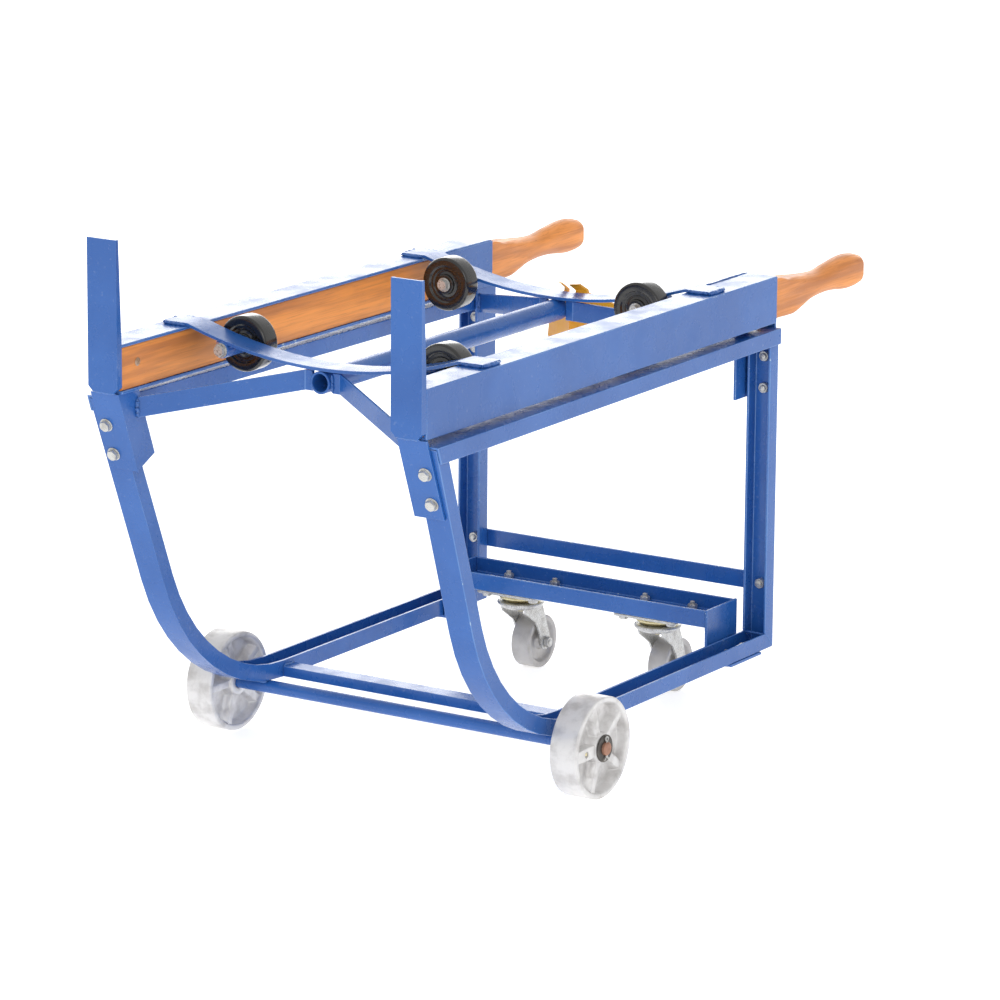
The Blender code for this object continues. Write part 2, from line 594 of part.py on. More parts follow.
def build_caster_fork(tag, side):
    """Swivel fork: a crown with a kingpin hole and two cheeks that trail back to the wheel's axle."""
    crown = [(0.0300, 0.1170), (0.0360, 0.1150), (0.0340, 0.1080), (0.0240, 0.1040)]
    mesh = turned("caster_fork", crown, 28, bore=0.0064)
    fork = add_object(f"caster_fork_{tag}", mesh, "zinc_plate")
    fork.location = (side * CASTER_X, CASTER_Y, 0)
    axle_z = CASTER_RADIUS
    cheek = [
        (-0.0240, 0.1100), (0.0280, 0.1100), (0.0480, 0.0560), (0.0520, axle_z), (0.0480, axle_z - 0.0100),
        (0.0400, axle_z - 0.0130), (0.0310, axle_z - 0.0100), (0.0270, axle_z), (0.0060, 0.0900),
    ]
    for i, direction in enumerate((-1, 1)):
        name = f"fork_cheek_{tag}_{i}"
        mesh = prism_x(name, cheek, direction * 0.0195, direction * 0.0225)
        cheek_object = add_object(name, mesh, None)
        cheek_object.location = (side * CASTER_X, CASTER_Y, 0)
        boolean(fork, cheek_object, "UNION", "MANIFOLD")
    axle_hole = (side * CASTER_X, CASTER_Y + CASTER_TRAIL, CASTER_RADIUS)
    drill(fork, f"fork_hole_{tag}", axle_hole, (1, 0, 0), BOLT_HOLE, 0.08, "MANIFOLD")


def caster_wheel_mesh():
    """Small cast wheel about local Z, with a sunken face and a bore."""
    half, radius = CASTER_WIDTH / 2, CASTER_RADIUS
    face = [
        (0.0110, half + 0.0010), (0.0125, half - 0.0070), (0.0310, half - 0.0070),
        (0.0335, half), (radius - 0.0015, half), (radius, half - 0.0020),
    ]
    profile = face + [(r, -z) for r, z in reversed(face)]
    return turned("caster_wheel", profile, 36, bore=0.0052)


def caster_bolt_mesh():
    """Axle bolt and nut of a caster wheel, about local Z."""
    stations = [
        (-0.0308, 0.0080, True), (-0.0230, 0.0090, True), (-0.0230, BOLT_RADIUS, False),
        (0.0230, BOLT_RADIUS, False), (0.0230, 0.0090, True), (0.0300, 0.0090, True),
        (0.0300, BOLT_RADIUS, False), (0.0330, 0.0040, False),
    ]
    return stacked("caster_bolt", stations)


def build_casters():
    """Two swivel casters, trailing straight back."""
    wheel_mesh_shared = caster_wheel_mesh()
    bolt_mesh_shared = caster_bolt_mesh()
    for tag, side in SIDES.items():
        build_caster_plate(tag, side)
        build_caster_fork(tag, side)
        place = (side * CASTER_X, CASTER_Y + CASTER_TRAIL, CASTER_RADIUS)
        wheel = add_object(f"caster_wheel_{tag}", wheel_mesh_shared, "cast_iron", smooth=True)
        bolt = add_object(f"caster_bolt_{tag}", bolt_mesh_shared, "zinc_plate")
        for obj in (wheel, bolt):
            obj.location = place
            obj.rotation_euler = (0, math.pi / 2, 0)


def frame_bolt_mesh(grip):
    """Short hex bolt with a nut, about local Z; the joint's outer face is at z = 0."""
    stations = [
        (-grip - 0.0100, 0.0045, False), (-grip - 0.0080, BOLT_RADIUS, False),
        (-grip - 0.0080, 0.0082, True), (-grip - GAP, 0.0082, True), (-grip - GAP, BOLT_RADIUS, False),
        (GAP, BOLT_RADIUS, False), (GAP, 0.0100, False), (0.0018, 0.0100, False), (0.0018, 0.0085, True),
        (0.0072, 0.0085, True), (0.0080, 0.0072, True),
    ]
    return stacked("frame_bolt", stations)


def build_frame_bolts():
    """Bolts that hold the leaning legs to their brackets: heads in front, nuts inside the channels."""
    wall = BRACKET_WALL + 0.0005
    mesh = frame_bolt_mesh(wall + LOOP_WALL + 0.0002)
    normal = Vector((0, -math.cos(LEG_LEAN), -math.sin(LEG_LEAN)))
    for tag, side in SIDES.items():
        for level, place in zip(("upper", "lower"), front_bolt_places(side)):
            bolt = add_object(f"frame_bolt_{tag}_{level}", mesh, "zinc_plate")
            bolt.location = Vector(place) + normal * wall
            bolt.rotation_euler = normal.to_track_quat("Z", "Y").to_euler()


def main():
    """Build the whole dolly under one empty, so that its origin is under its middle."""
    clear_scene()
    for name in FINISHES:
        make_material(name)
    root = bpy.data.objects.new("dolly", None)
    root.location = (0, -LENGTH / 2, 0)
    bpy.context.scene.collection.objects.link(root)
    for tag, side in SIDES.items():
        build_rail(tag, side)
        build_keeper(tag, side)
        build_wood_handle(tag, side)
        build_toe_plate(tag, side)
        build_front_bracket(tag, side)
        build_rear_bracket(tag, side)
        build_front_leg(tag, side)
        build_rear_leg(tag, side)
        build_top_bar(tag, side)
    build_strap("front", STRAP_FRONT)
    build_strap("rear", STRAP_BACK)
    build_rollers()
    build_centre_tube()
    build_braces()
    build_chime_hook()
    build_front_wheels()
    build_cross_bars()
    build_caster_channel()
    build_casters()
    build_frame_bolts()


main()
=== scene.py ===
"""Looks of the drum dolly: painted channel frame, wooden handles, rollers, cast wheels and casters.

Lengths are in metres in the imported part's own frame. Lengths called "along" are measured from the face of
the toe plates towards the handles, and the function along turns them into the frame's Y.
"""

import json
import logging
import math
import random
from dataclasses import dataclass, field
from enum import Enum
from typing import Callable, Sequence

import bmesh
import bpy
from mathutils import Matrix, Vector, noise

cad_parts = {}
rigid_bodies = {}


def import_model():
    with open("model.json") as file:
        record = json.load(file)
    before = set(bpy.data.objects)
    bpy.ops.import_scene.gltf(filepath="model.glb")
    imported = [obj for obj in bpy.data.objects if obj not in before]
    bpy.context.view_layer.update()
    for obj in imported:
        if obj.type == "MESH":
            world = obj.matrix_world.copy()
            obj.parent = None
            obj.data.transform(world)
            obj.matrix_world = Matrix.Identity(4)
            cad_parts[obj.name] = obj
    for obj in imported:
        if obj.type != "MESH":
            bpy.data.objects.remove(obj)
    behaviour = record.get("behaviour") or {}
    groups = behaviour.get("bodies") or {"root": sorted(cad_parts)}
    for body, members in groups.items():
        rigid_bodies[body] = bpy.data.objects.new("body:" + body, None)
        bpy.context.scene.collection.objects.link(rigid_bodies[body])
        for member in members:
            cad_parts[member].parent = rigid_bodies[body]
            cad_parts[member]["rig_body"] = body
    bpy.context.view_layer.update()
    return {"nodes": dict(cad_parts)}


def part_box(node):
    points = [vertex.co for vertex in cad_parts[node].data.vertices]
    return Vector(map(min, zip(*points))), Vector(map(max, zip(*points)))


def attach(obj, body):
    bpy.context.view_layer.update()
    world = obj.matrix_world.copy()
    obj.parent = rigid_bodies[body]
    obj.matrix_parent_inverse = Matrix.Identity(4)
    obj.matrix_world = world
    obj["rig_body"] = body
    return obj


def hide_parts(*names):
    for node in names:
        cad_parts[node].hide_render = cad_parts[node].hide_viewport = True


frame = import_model()

LOG = logging.getLogger("drum_dolly")
TOE_FACE_Y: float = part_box("toe_plate_right")[0].y
Point = tuple[float, float, float]
Ring = list[Point]
Colour = tuple[float, float, float, float]


class Side(Enum):
    """Left and right as seen from the toe plates."""

    LEFT = -1
    RIGHT = 1

    @property
    def tag(self) -> str:
        """The side's word in node names."""
        return self.name.lower()

    @property
    def outward(self) -> Point:
        """Direction from the dolly's middle to this side."""
        return (float(self.value), 0.0, 0.0)

    @property
    def inward(self) -> Point:
        """Direction from this side to the dolly's middle."""
        return (-float(self.value), 0.0, 0.0)


class End(Enum):
    """The toe end and the handle end."""

    FRONT = "front"
    REAR = "rear"


class Axis(Enum):
    """Direction that a turned piece's own Z axis points in."""

    X = (1.0, 0.0, 0.0)
    Y = (0.0, 1.0, 0.0)
    Z = (0.0, 0.0, 1.0)
    BACK_X = (-1.0, 0.0, 0.0)
    BACK_Y = (0.0, -1.0, 0.0)
    DOWN = (0.0, 0.0, -1.0)


def along(distance: float) -> float:
    """The frame's Y at a distance behind the toe plates' face."""
    return TOE_FACE_Y + distance


# ---------------------------------------------------------------- finishes


class Graph:
    """A material's node tree, with short words for the nodes that the finishes share."""

    def __init__(self, name: str) -> None:
        """Start a material.

        Args:
            name: the material's name.
        """
        self.material = bpy.data.materials.new(name)
        self.material.use_nodes = True
        self.tree = self.material.node_tree
        self.shader = self.tree.nodes["Principled BSDF"]
        self.coords = self.tree.nodes.new("ShaderNodeTexCoord").outputs["Object"]

    def feed(self, socket: bpy.types.NodeSocket, value: object) -> None:
        """Link a socket, or set its plain value.

        Args:
            socket: the input to fill.
            value: another node's output, a number or a colour.
        """
        if isinstance(value, bpy.types.NodeSocket):
            self.tree.links.new(value, socket)
        else:
            socket.default_value = value

    def noise(self, scale: float, detail: float = 3.0, stretch: Point = (1, 1, 1),
              rough: float = 0.55) -> bpy.types.NodeSocket:
        """Noise in the piece's own space.

        Args:
            scale: features per metre, roughly.
            detail: octaves.
            stretch: scale of each axis before the noise.
            rough: weight of the fine octaves.

        Returns:
            The noise value's socket.
        """
        mapping = self.tree.nodes.new("ShaderNodeMapping")
        mapping.inputs["Scale"].default_value = stretch
        self.feed(mapping.inputs["Vector"], self.coords)
        texture = self.tree.nodes.new("ShaderNodeTexNoise")
        self.feed(texture.inputs["Vector"], mapping.outputs["Vector"])
        for socket, value in (("Scale", scale), ("Detail", detail), ("Roughness", rough)):
            texture.inputs[socket].default_value = value
        return texture.outputs["Fac"]

    def mask(self, value: object, low: float, high: float, floor: float = 0.0,
             top: float = 1.0) -> bpy.types.NodeSocket:
        """Remap a value smoothly from low..high to floor..top.

        Args:
            value: the value's socket.
            low: value that gives floor.
            high: value that gives top.
            floor: lowest result.
            top: highest result.

        Returns:
            The result's socket.
        """
        node = self.tree.nodes.new("ShaderNodeMapRange")
        node.interpolation_type = "SMOOTHSTEP"
        for index, number in enumerate((value, low, high, floor, top)):
            self.feed(node.inputs[index], number)
        return node.outputs[0]

    def blend(self, share: object, first: object, second: object) -> bpy.types.NodeSocket:
        """Mix two colours.

        Args:
            share: weight of the second colour.
            first: colour at 0.
            second: colour at 1.

        Returns:
            The mixed colour's socket.
        """
        node = self.tree.nodes.new("ShaderNodeMix")
        node.data_type = "RGBA"
        for index, value in ((0, share), (6, first), (7, second)):
            self.feed(node.inputs[index], value)
        return node.outputs[2]

    def calc(self, operation: str, first: object, second: object) -> bpy.types.NodeSocket:
        """One sum of two values.

        Args:
            operation: name of the sum, such as MULTIPLY.
            first: first value.
            second: second value.

        Returns:
            The result's socket.
        """
        node = self.tree.nodes.new("ShaderNodeMath")
        node.operation = operation
        self.feed(node.inputs[0], first)
        self.feed(node.inputs[1], second)
        return node.outputs[0]

    def bump(self, height: object, distance: float, strength: float = 1.0,
             under: object = None) -> bpy.types.NodeSocket:
        """Raise the surface by a height.

        Args:
            height: height's socket, from 0 to 1.
            distance: real height of 1, in metres.
            strength: share of the effect.
            under: a normal that this one is laid over.

        Returns:
            The normal's socket.
        """
        node = self.tree.nodes.new("ShaderNodeBump")
        node.inputs["Strength"].default_value = strength
        node.inputs["Distance"].default_value = distance
        self.feed(node.inputs["Height"], height)
        if under is not None:
            self.feed(node.inputs["Normal"], under)
        return node.outputs["Normal"]

    def finish(self, colour: object, rough: object, metal: float, normal: object) -> bpy.types.Material:
        """Fill the shader's main sockets.

        Args:
            colour: base colour.
            rough: roughness.
            metal: metallic share.
            normal: normal.

        Returns:
            The material.
        """
        self.feed(self.shader.inputs["Base Color"], colour)
        self.feed(self.shader.inputs["Roughness"], rough)
        self.shader.inputs["Metallic"].default_value = metal
        self.feed(self.shader.inputs["Normal"], normal)
        return self.material


def rgb(red: float, green: float, blue: float) -> Colour:
    """A linear colour with full alpha."""
    return (red, green, blue, 1.0)


@dataclass(frozen=True)
class Enamel:
    """Sprayed gloss enamel over steel, with orange peel, dust and chips."""

    name: str
    deep: Colour
    light: Colour
    chip: Colour = rgb(0.50, 0.66, 0.76)
    chip_from: float = 0.72
    gloss: float = 0.24
    peel: float = 0.00010
    coat: float = 0.06

    def make(self) -> bpy.types.Material:
        """Build the material."""
        graph = Graph(self.name)
        cloud = graph.mask(graph.noise(7.0, 4.0), 0.35, 0.68)
        colour = graph.blend(cloud, self.deep, self.light)
        dust = graph.mask(graph.noise(160.0, 5.0), 0.60, 0.78, 0.0, 0.16)
        colour = graph.blend(dust, colour, rgb(0.42, 0.50, 0.66))
        chips = graph.mask(graph.noise(95.0, 6.0, rough=0.7), self.chip_from, self.chip_from + 0.02)
        patch = graph.mask(graph.noise(9.0, 2.0), 0.50, 0.62)
        chips = graph.calc("MULTIPLY", chips, patch)
        colour = graph.blend(chips, colour, self.chip)
        rough = graph.mask(graph.noise(22.0, 5.0), 0.30, 0.75, self.gloss - 0.05, self.gloss + 0.13)
        rough = graph.calc("ADD", rough, graph.calc("MULTIPLY", chips, 0.3))
        wave = graph.bump(graph.noise(34.0, 2.0), 0.00045, 0.5)
        peel = graph.bump(graph.noise(420.0, 2.0), self.peel, 0.6, wave)
        normal = graph.bump(graph.calc("SUBTRACT", 1.0, chips), 0.00012, 0.6, peel)
        graph.shader.inputs["Coat Weight"].default_value = self.coat
        graph.shader.inputs["Coat Roughness"].default_value = 0.10
        return graph.finish(colour, rough, 0.0, normal)


@dataclass(frozen=True)
class Timber:
    """Sawn hardwood under a thin satin varnish; its grain runs along Y."""

    name: str = "oiled_wood_grain"
    pale: Colour = rgb(0.93, 0.335, 0.062)
    dark: Colour = rgb(0.53, 0.178, 0.042)
    pore: Colour = rgb(0.33, 0.095, 0.022)

    def make(self) -> bpy.types.Material:
        """Build the material."""
        graph = Graph(self.name)
        figure = graph.noise(9.0, 4.0, (5.0, 0.35, 5.0))
        lines = graph.noise(60.0, 5.0, (6.0, 0.10, 6.0), 0.65)
        colour = graph.blend(graph.mask(figure, 0.34, 0.66), self.pale, self.dark)
        colour = graph.blend(graph.mask(lines, 0.48, 0.70, 0.0, 0.55), colour, self.dark)
        pores = graph.noise(260.0, 3.0, (5.0, 0.09, 5.0))
        pore = graph.mask(pores, 0.62, 0.74, 0.0, 0.60)
        colour = graph.blend(pore, colour, self.pore)
        smudge = graph.mask(graph.noise(16.0, 5.0, (1.0, 0.6, 1.0)), 0.58, 0.80, 0.0, 0.35)
        colour = graph.blend(smudge, colour, self.dark)
        rough = graph.mask(lines, 0.3, 0.7, 0.36, 0.55)
        normal = graph.bump(graph.calc("SUBTRACT", 1.0, pore), 0.00016, 0.7)
        normal = graph.bump(lines, 0.00022, 0.6, normal)
        graph.shader.inputs["Coat Weight"].default_value = 0.05
        graph.shader.inputs["Coat Roughness"].default_value = 0.30
        return graph.finish(colour, rough, 0.0, normal)


@dataclass(frozen=True)
class Phenolic:
    """Moulded brown-black phenolic with pale specks of filler and a light sheen."""

    name: str = "black_phenolic_moulded"

    def make(self) -> bpy.types.Material:
        """Build the material."""
        graph = Graph(self.name)
        cloud = graph.mask(graph.noise(30.0, 4.0), 0.35, 0.70)
        colour = graph.blend(cloud, rgb(0.0045, 0.0045, 0.0040), rgb(0.009, 0.008, 0.0065))
        speck = graph.mask(graph.noise(520.0, 4.0, rough=0.7), 0.70, 0.76, 0.0, 0.25)
        colour = graph.blend(speck, colour, rgb(0.07, 0.055, 0.04))
        scuff = graph.noise(55.0, 6.0, (1.0, 1.0, 4.0))
        rough = graph.mask(scuff, 0.35, 0.75, 0.17, 0.40)
        normal = graph.bump(graph.noise(240.0, 4.0), 0.00010, 0.5)
        graph.shader.inputs["Coat Weight"].default_value = 0.60
        graph.shader.inputs["Coat Roughness"].default_value = 0.12
        return graph.finish(colour, rough, 0.0, normal)


@dataclass(frozen=True)
class Casting:
    """Sand-cast iron under aluminium paint: pitted and mottled; the front wheels take a lighter copy on the
    hub and grease boss and a darker one on the web and rim, as painted light and shade.
    """

    name: str
    base: Colour = rgb(0.76, 0.75, 0.745)
    dull: Colour = rgb(0.56, 0.545, 0.535)
    metal: float = 0.45

    def make(self) -> bpy.types.Material:
        """Build the material."""
        graph = Graph(self.name)
        cloud = graph.mask(graph.noise(38.0, 5.0), 0.40, 0.70)
        colour = graph.blend(cloud, self.base, self.dull)
        grit = graph.noise(330.0, 5.0, rough=0.7)
        colour = graph.blend(graph.mask(grit, 0.62, 0.78, 0.0, 0.40), colour, rgb(0.30, 0.29, 0.28))
        colour = graph.blend(graph.mask(grit, 0.34, 0.24, 0.0, 0.5), colour, rgb(0.86, 0.85, 0.84))
        rough = graph.mask(graph.noise(70.0, 4.0), 0.3, 0.7, 0.34, 0.56)
        normal = graph.bump(graph.noise(85.0, 5.0), 0.0006, 0.5)
        normal = graph.bump(grit, 0.00035, 0.7, normal)
        return graph.finish(colour, rough, self.metal, normal)


@dataclass(frozen=True)
class Plate:
    """Zinc plate or bare steel: metal with a soft mottle and fine scratches."""

    name: str
    base: Colour
    stain: Colour
    rough: float = 0.26
    metal: float = 1.0

    def make(self) -> bpy.types.Material:
        """Build the material."""
        graph = Graph(self.name)
        cloud = graph.mask(graph.noise(75.0, 5.0), 0.40, 0.72)
        colour = graph.blend(cloud, self.base, self.stain)
        scratch = graph.noise(260.0, 4.0, (1.0, 7.0, 1.0))
        rough = graph.mask(scratch, 0.35, 0.75, self.rough - 0.06, self.rough + 0.16)
        normal = graph.bump(scratch, 0.00006, 0.5)
        normal = graph.bump(graph.noise(150.0, 4.0), 0.00012, 0.4, normal)
        return graph.finish(colour, rough, self.metal, normal)


@dataclass(frozen=True)
class PaleFloor:
    """Plain pale studio floor with a barely visible tooth."""

    name: str = "pale_floor"
    glow: float = 0.50

    def make(self) -> bpy.types.Material:
        """Build the material."""
        graph = Graph(self.name)
        colour = graph.blend(graph.noise(2.0, 3.0), rgb(0.93, 0.93, 0.93), rgb(0.95, 0.95, 0.95))
        graph.shader.inputs["Emission Color"].default_value = rgb(1.0, 1.0, 1.0)
        graph.shader.inputs["Emission Strength"].default_value = self.glow
        return graph.finish(colour, 0.65, 0.0, graph.bump(graph.noise(90.0, 3.0), 0.0002, 0.2))


BLUE_DEEP = rgb(0.018, 0.104, 0.380)
BLUE_LIGHT = rgb(0.026, 0.128, 0.440)


class Finish(Enum):
    """The dolly's finishes; each value is a recipe with a make method."""

    BLUE = Enamel("blue_enamel", BLUE_DEEP, BLUE_LIGHT)
    # Lighter copy of the blue enamel for rounded edges: a painted highlight, with more chips as real edge
    # wear.
    BLUE_EDGE = Enamel("blue_enamel_edge", rgb(0.05, 0.16, 0.48), rgb(0.12, 0.26, 0.58), chip_from=0.60)
    BLUE_WELD = Enamel("blue_enamel_weld", rgb(0.030, 0.12, 0.40), rgb(0.07, 0.19, 0.50), chip_from=0.64,
                       peel=0.0005)
    YELLOW = Enamel("yellow_enamel", rgb(0.80, 0.32, 0.004), rgb(0.90, 0.42, 0.012),
                    chip=rgb(0.30, 0.26, 0.20), chip_from=0.78, gloss=0.42)
    WOOD = Timber()
    PHENOLIC = Phenolic()
    CAST = Casting("aluminium_painted_casting")
    # Lighter copy of the casting for the front wheels' hub faces and grease bosses: painted light against the
    # darker web and rim.
    CAST_HUB = Casting("casting_hub_face", rgb(0.80, 0.79, 0.78), rgb(0.66, 0.65, 0.64))
    CASTER_CAST = Casting("caster_wheel_casting", rgb(0.50, 0.485, 0.47), rgb(0.40, 0.385, 0.37), 0.35)
    ZINC = Plate("bright_zinc", rgb(0.60, 0.60, 0.58), rgb(0.42, 0.41, 0.39), 0.30, 0.6)
    ZINC_YELLOW = Plate("yellow_zinc", rgb(0.74, 0.66, 0.40), rgb(0.52, 0.44, 0.24))
    OLD_ZINC = Plate("old_zinc", rgb(0.42, 0.27, 0.17), rgb(0.62, 0.50, 0.40), 0.36, 0.8)
    DARK_STEEL = Plate("dark_steel", rgb(0.10, 0.095, 0.09), rgb(0.19, 0.17, 0.15), 0.42, 0.8)
    RUSTY = Plate("rusty_axle_end", rgb(0.42, 0.22, 0.15), rgb(0.22, 0.10, 0.065), 0.60, 0.30)

    @property
    def material(self) -> bpy.types.Material:
        """The finish's material, made at its first use."""
        return bpy.data.materials.get(self.value.name) or self.value.make()


class Slot(Enum):
    """The record's material slots."""

    BLUE = "blue_paint"
    YELLOW = "yellow_paint"
    WOOD = "oiled_wood"
    PHENOLIC = "black_phenolic"
    CAST = "cast_iron"
    ZINC = "zinc_plate"


# ---------------------------------------------------------------- mesh tools


def smooth(low: float, high: float, value: float) -> float:
    """Ease from 0 at low to 1 at high."""
    share = min(max((value - low) / (high - low), 0.0), 1.0)
    return share * share * (3 - 2 * share)


def around(steps: int) -> list[float]:
    """Evenly spaced angles round a full turn."""
    return [2 * math.pi * k / steps for k in range(steps)]


def spread(start: float, stop: float, count: int) -> list[float]:
    """Evenly spaced values after start, up to stop."""
    return [start + (stop - start) * k / count for k in range(1, count + 1)]


def spun(profile: Sequence[tuple[float, float]], angle: float) -> Ring:
    """A (radius, z) profile turned about Z to an angle."""
    return [(r * math.cos(angle), r * math.sin(angle), z) for r, z in profile]


def round_rings(profile: Sequence[tuple[float, float]], steps: int = 24) -> list[Ring]:
    """Rings of a round shank or washer from (radius, z) points."""
    return [[(r * math.cos(a), r * math.sin(a), z) for a in around(steps)] for r, z in profile]


def quarter_turn(radius: float, z: float, size: float, steps: int) -> list[tuple[float, float]]:
    """Rounded outer edge of a turned profile, from its face to its tread.

    Args:
        radius: radius at the rounding's centre.
        z: height of the rounding's centre.
        size: radius of the rounding.
        steps: points on it.

    Returns:
        The (radius, z) points.
    """
    return [(radius + size * math.sin(a), z + size * math.cos(a)) for a in spread(0.0, math.pi / 2, steps)]


def rounded_rectangle(half_x: float, half_y: float, corner: float, arc: float,
                      steps: int) -> list[tuple[float, float]]:
    """Outline of a rectangle with round corners.

    Args:
        half_x: half its width.
        half_y: half its height.
        corner: distance of the arcs' centres from the sides.
        arc: radius of the arcs.
        steps: points on each arc.

    Returns:
        The outline's points about its middle.
    """
    outline = []
    for quarter, (sx, sy) in enumerate(((1, 1), (-1, 1), (-1, -1), (1, -1))):
        for k in range(steps):
            angle = math.pi / 2 * (quarter + k / (steps - 1))
            outline.append((sx * (half_x - corner) + arc * math.cos(angle),
                            sy * (half_y - corner) + arc * math.sin(angle)))
    return outline


def closed_mesh(bm: bmesh.types.BMesh, name: str) -> bpy.types.Mesh:
    """Turn a bmesh into a mesh that faces out.

    Args:
        bm: the bmesh, which is freed.
        name: the mesh's name.

    Returns:
        The mesh.
    """
    bmesh.ops.recalc_face_normals(bm, faces=bm.faces)
    if bm.calc_volume(signed=True) < 0:
        bmesh.ops.reverse_faces(bm, faces=bm.faces)
    mesh = bpy.data.meshes.new(name)
    bm.to_mesh(mesh)
    bm.free()
    return mesh


def add_rings(bm: bmesh.types.BMesh, rings: Sequence[Ring], looped: bool = False) -> None:
    """Add a skin through rings of points.

    Args:
        bm: the bmesh to add to.
        rings: rings of the same count.
        looped: join the last ring to the first, instead of closing both.
    """
    loops = [[bm.verts.new(point) for point in ring] for ring in rings]
    count = len(loops[0])
    pairs = list(zip(loops, loops[1:]))
    if looped:
        pairs.append((loops[-1], loops[0]))
    for low, high in pairs:
        for i in range(count):
            j = (i + 1) % count
            bm.faces.new((low[i], low[j], high[j], high[i]))
    if not looped:
        bm.faces.new(loops[0])
        bm.faces.new(list(reversed(loops[-1])))


def lathe(name: str, profile: Sequence[tuple[float, float]], steps: int = 64, bore: float = 0.0,
          parts: Sequence[int] = ()) -> bpy.types.Mesh:
    """Turn a profile about Z.

    Args:
        name: the mesh's name.
        profile: (radius, z) points down the outside.
        steps: facets round the turn.
        bore: radius of a hole along the axis.
        parts: material number of each band of the profile; missing ones are 0.

    Returns:
        The mesh.
    """
    bm = bmesh.new()
    points = list(profile)
    if bore:
        points += [(bore, profile[-1][1]), (bore, profile[0][1])]
    rings = [[bm.verts.new(point) for point in spun(points, angle)] for angle in around(steps)]
    bands = len(points) if bore else len(points) - 1
    for first, second in zip(rings, rings[1:] + rings[:1]):
        for i in range(bands):
            j = (i + 1) % len(points)
            face = bm.faces.new((first[i], second[i], second[j], first[j]))
            face.material_index = parts[i] if i < len(parts) else 0
    if not bore:
        ends = ([ring[0] for ring in rings], [ring[-1] for ring in reversed(rings)])
        for end, part in zip(ends, (parts[:1], parts[-1:])):
            bm.faces.new(end).material_index = part[0] if part else 0
    return closed_mesh(bm, name)


def rounded_profile(points: Sequence[tuple[float, float]], radius: float) -> list[tuple[float, float]]:
    """Round the corners of a turned profile.

    Args:
        points: (radius, z) corners.
        radius: largest cut along each leg.

    Returns:
        The profile with each inner corner as three points.
    """
    result = [points[0]]
    for before, corner, after in zip(points, points[1:], points[2:]):
        here, back, ahead = Vector(corner), Vector(before) - Vector(corner), Vector(after) - Vector(corner)
        cut = min(radius, back.length * 0.4, ahead.length * 0.4)
        start, stop = here + back.normalized() * cut, here + ahead.normalized() * cut
        middle = (start + stop) / 4 + here / 2
        result += [tuple(start), tuple(middle), tuple(stop)]
    return result + [points[-1]]


def swept(bm: bmesh.types.BMesh, path: Sequence[Vector], size: Callable[[int], float], sides: int) -> None:
    """Add a round bar along a path.

    Args:
        bm: the bmesh to add to.
        path: points along the bar.
        size: radius at each point's number.
        sides: facets round the bar.
    """
    rings = []
    up = Vector((0.31, 0.22, 0.93)).normalized()
    for i, point in enumerate(path):
        ahead = path[min(i + 1, len(path) - 1)] - path[max(i - 1, 0)]
        across = ahead.cross(up).normalized()
        rise = across.cross(ahead).normalized()
        radius = size(i)
        rings.append([tuple(point + (across * math.cos(a) + rise * math.sin(a)) * radius)
                      for a in around(sides)])
    add_rings(bm, rings)


def rod(path: Sequence[Vector], radius: float, sides: int) -> bpy.types.Mesh:
    """Straight shank of a bolt.

    Args:
        path: its two ends.
        radius: radius of the shank.
        sides: facets round it.

    Returns:
        The mesh.
    """
    bm = bmesh.new()
    swept(bm, path, lambda _: radius, sides)
    return closed_mesh(bm, "shank")


def hexagon(radius: float, height: float, z: float) -> list[Ring]:
    """Rings of a chamfered hexagon nut or head.

    Args:
        radius: centre to corner.
        height: height along Z.
        z: where it starts.

    Returns:
        Rings of 24 points from the seat to the chamfered top.
    """
    rings = []
    for level, size, share in ((0.0, 0.93, 1.0), (0.10, 1.0, 1.0), (0.80, 1.0, 1.0), (1.0, 0.88, 0.25)):
        ring = []
        for angle in around(24):
            flat = math.cos(math.pi / 6) / math.cos((angle % (math.pi / 3)) - math.pi / 6)
            reach = radius * size * (share * flat + (1 - share))
            ring.append((reach * math.cos(angle), reach * math.sin(angle), z + level * height))
        rings.append(ring)
    return rings


def placed(mesh: bpy.types.Mesh, place: Sequence[float], axis: Sequence[float] = Axis.Z.value,
           spin: float = 0.0) -> bpy.types.Mesh:
    """Copy a mesh to its place in the frame.

    Args:
        mesh: mesh about its own Z axis.
        place: where its origin goes.
        axis: where its Z axis points.
        spin: turn about its own axis, in radians.

    Returns:
        The moved copy.
    """
    copy = mesh.copy()
    turn = Vector(axis).to_track_quat("Z", "Y").to_matrix().to_4x4()
    copy.transform(Matrix.Translation(place) @ turn @ Matrix.Rotation(spin, 4, "Z"))
    return copy


def merged(name: str, meshes: Sequence[bpy.types.Mesh]) -> bpy.types.Mesh:
    """Join meshes into one.

    Args:
        name: the new mesh's name.
        meshes: meshes in the frame.

    Returns:
        The joined mesh.
    """
    bm = bmesh.new()
    for mesh in meshes:
        bm.from_mesh(mesh)
    result = bpy.data.meshes.new(name)
    bm.to_mesh(result)
    bm.free()
    return result


def cad_body(node: str) -> str:
    """The body that a CAD node rides on."""
    return frame["nodes"][node]["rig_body"]


def middle_and_half(node: str) -> tuple[Vector, Vector]:
    """Middle of a CAD node's box, and half its size."""
    low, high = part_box(node)
    return (low + high) / 2, (high - low) / 2


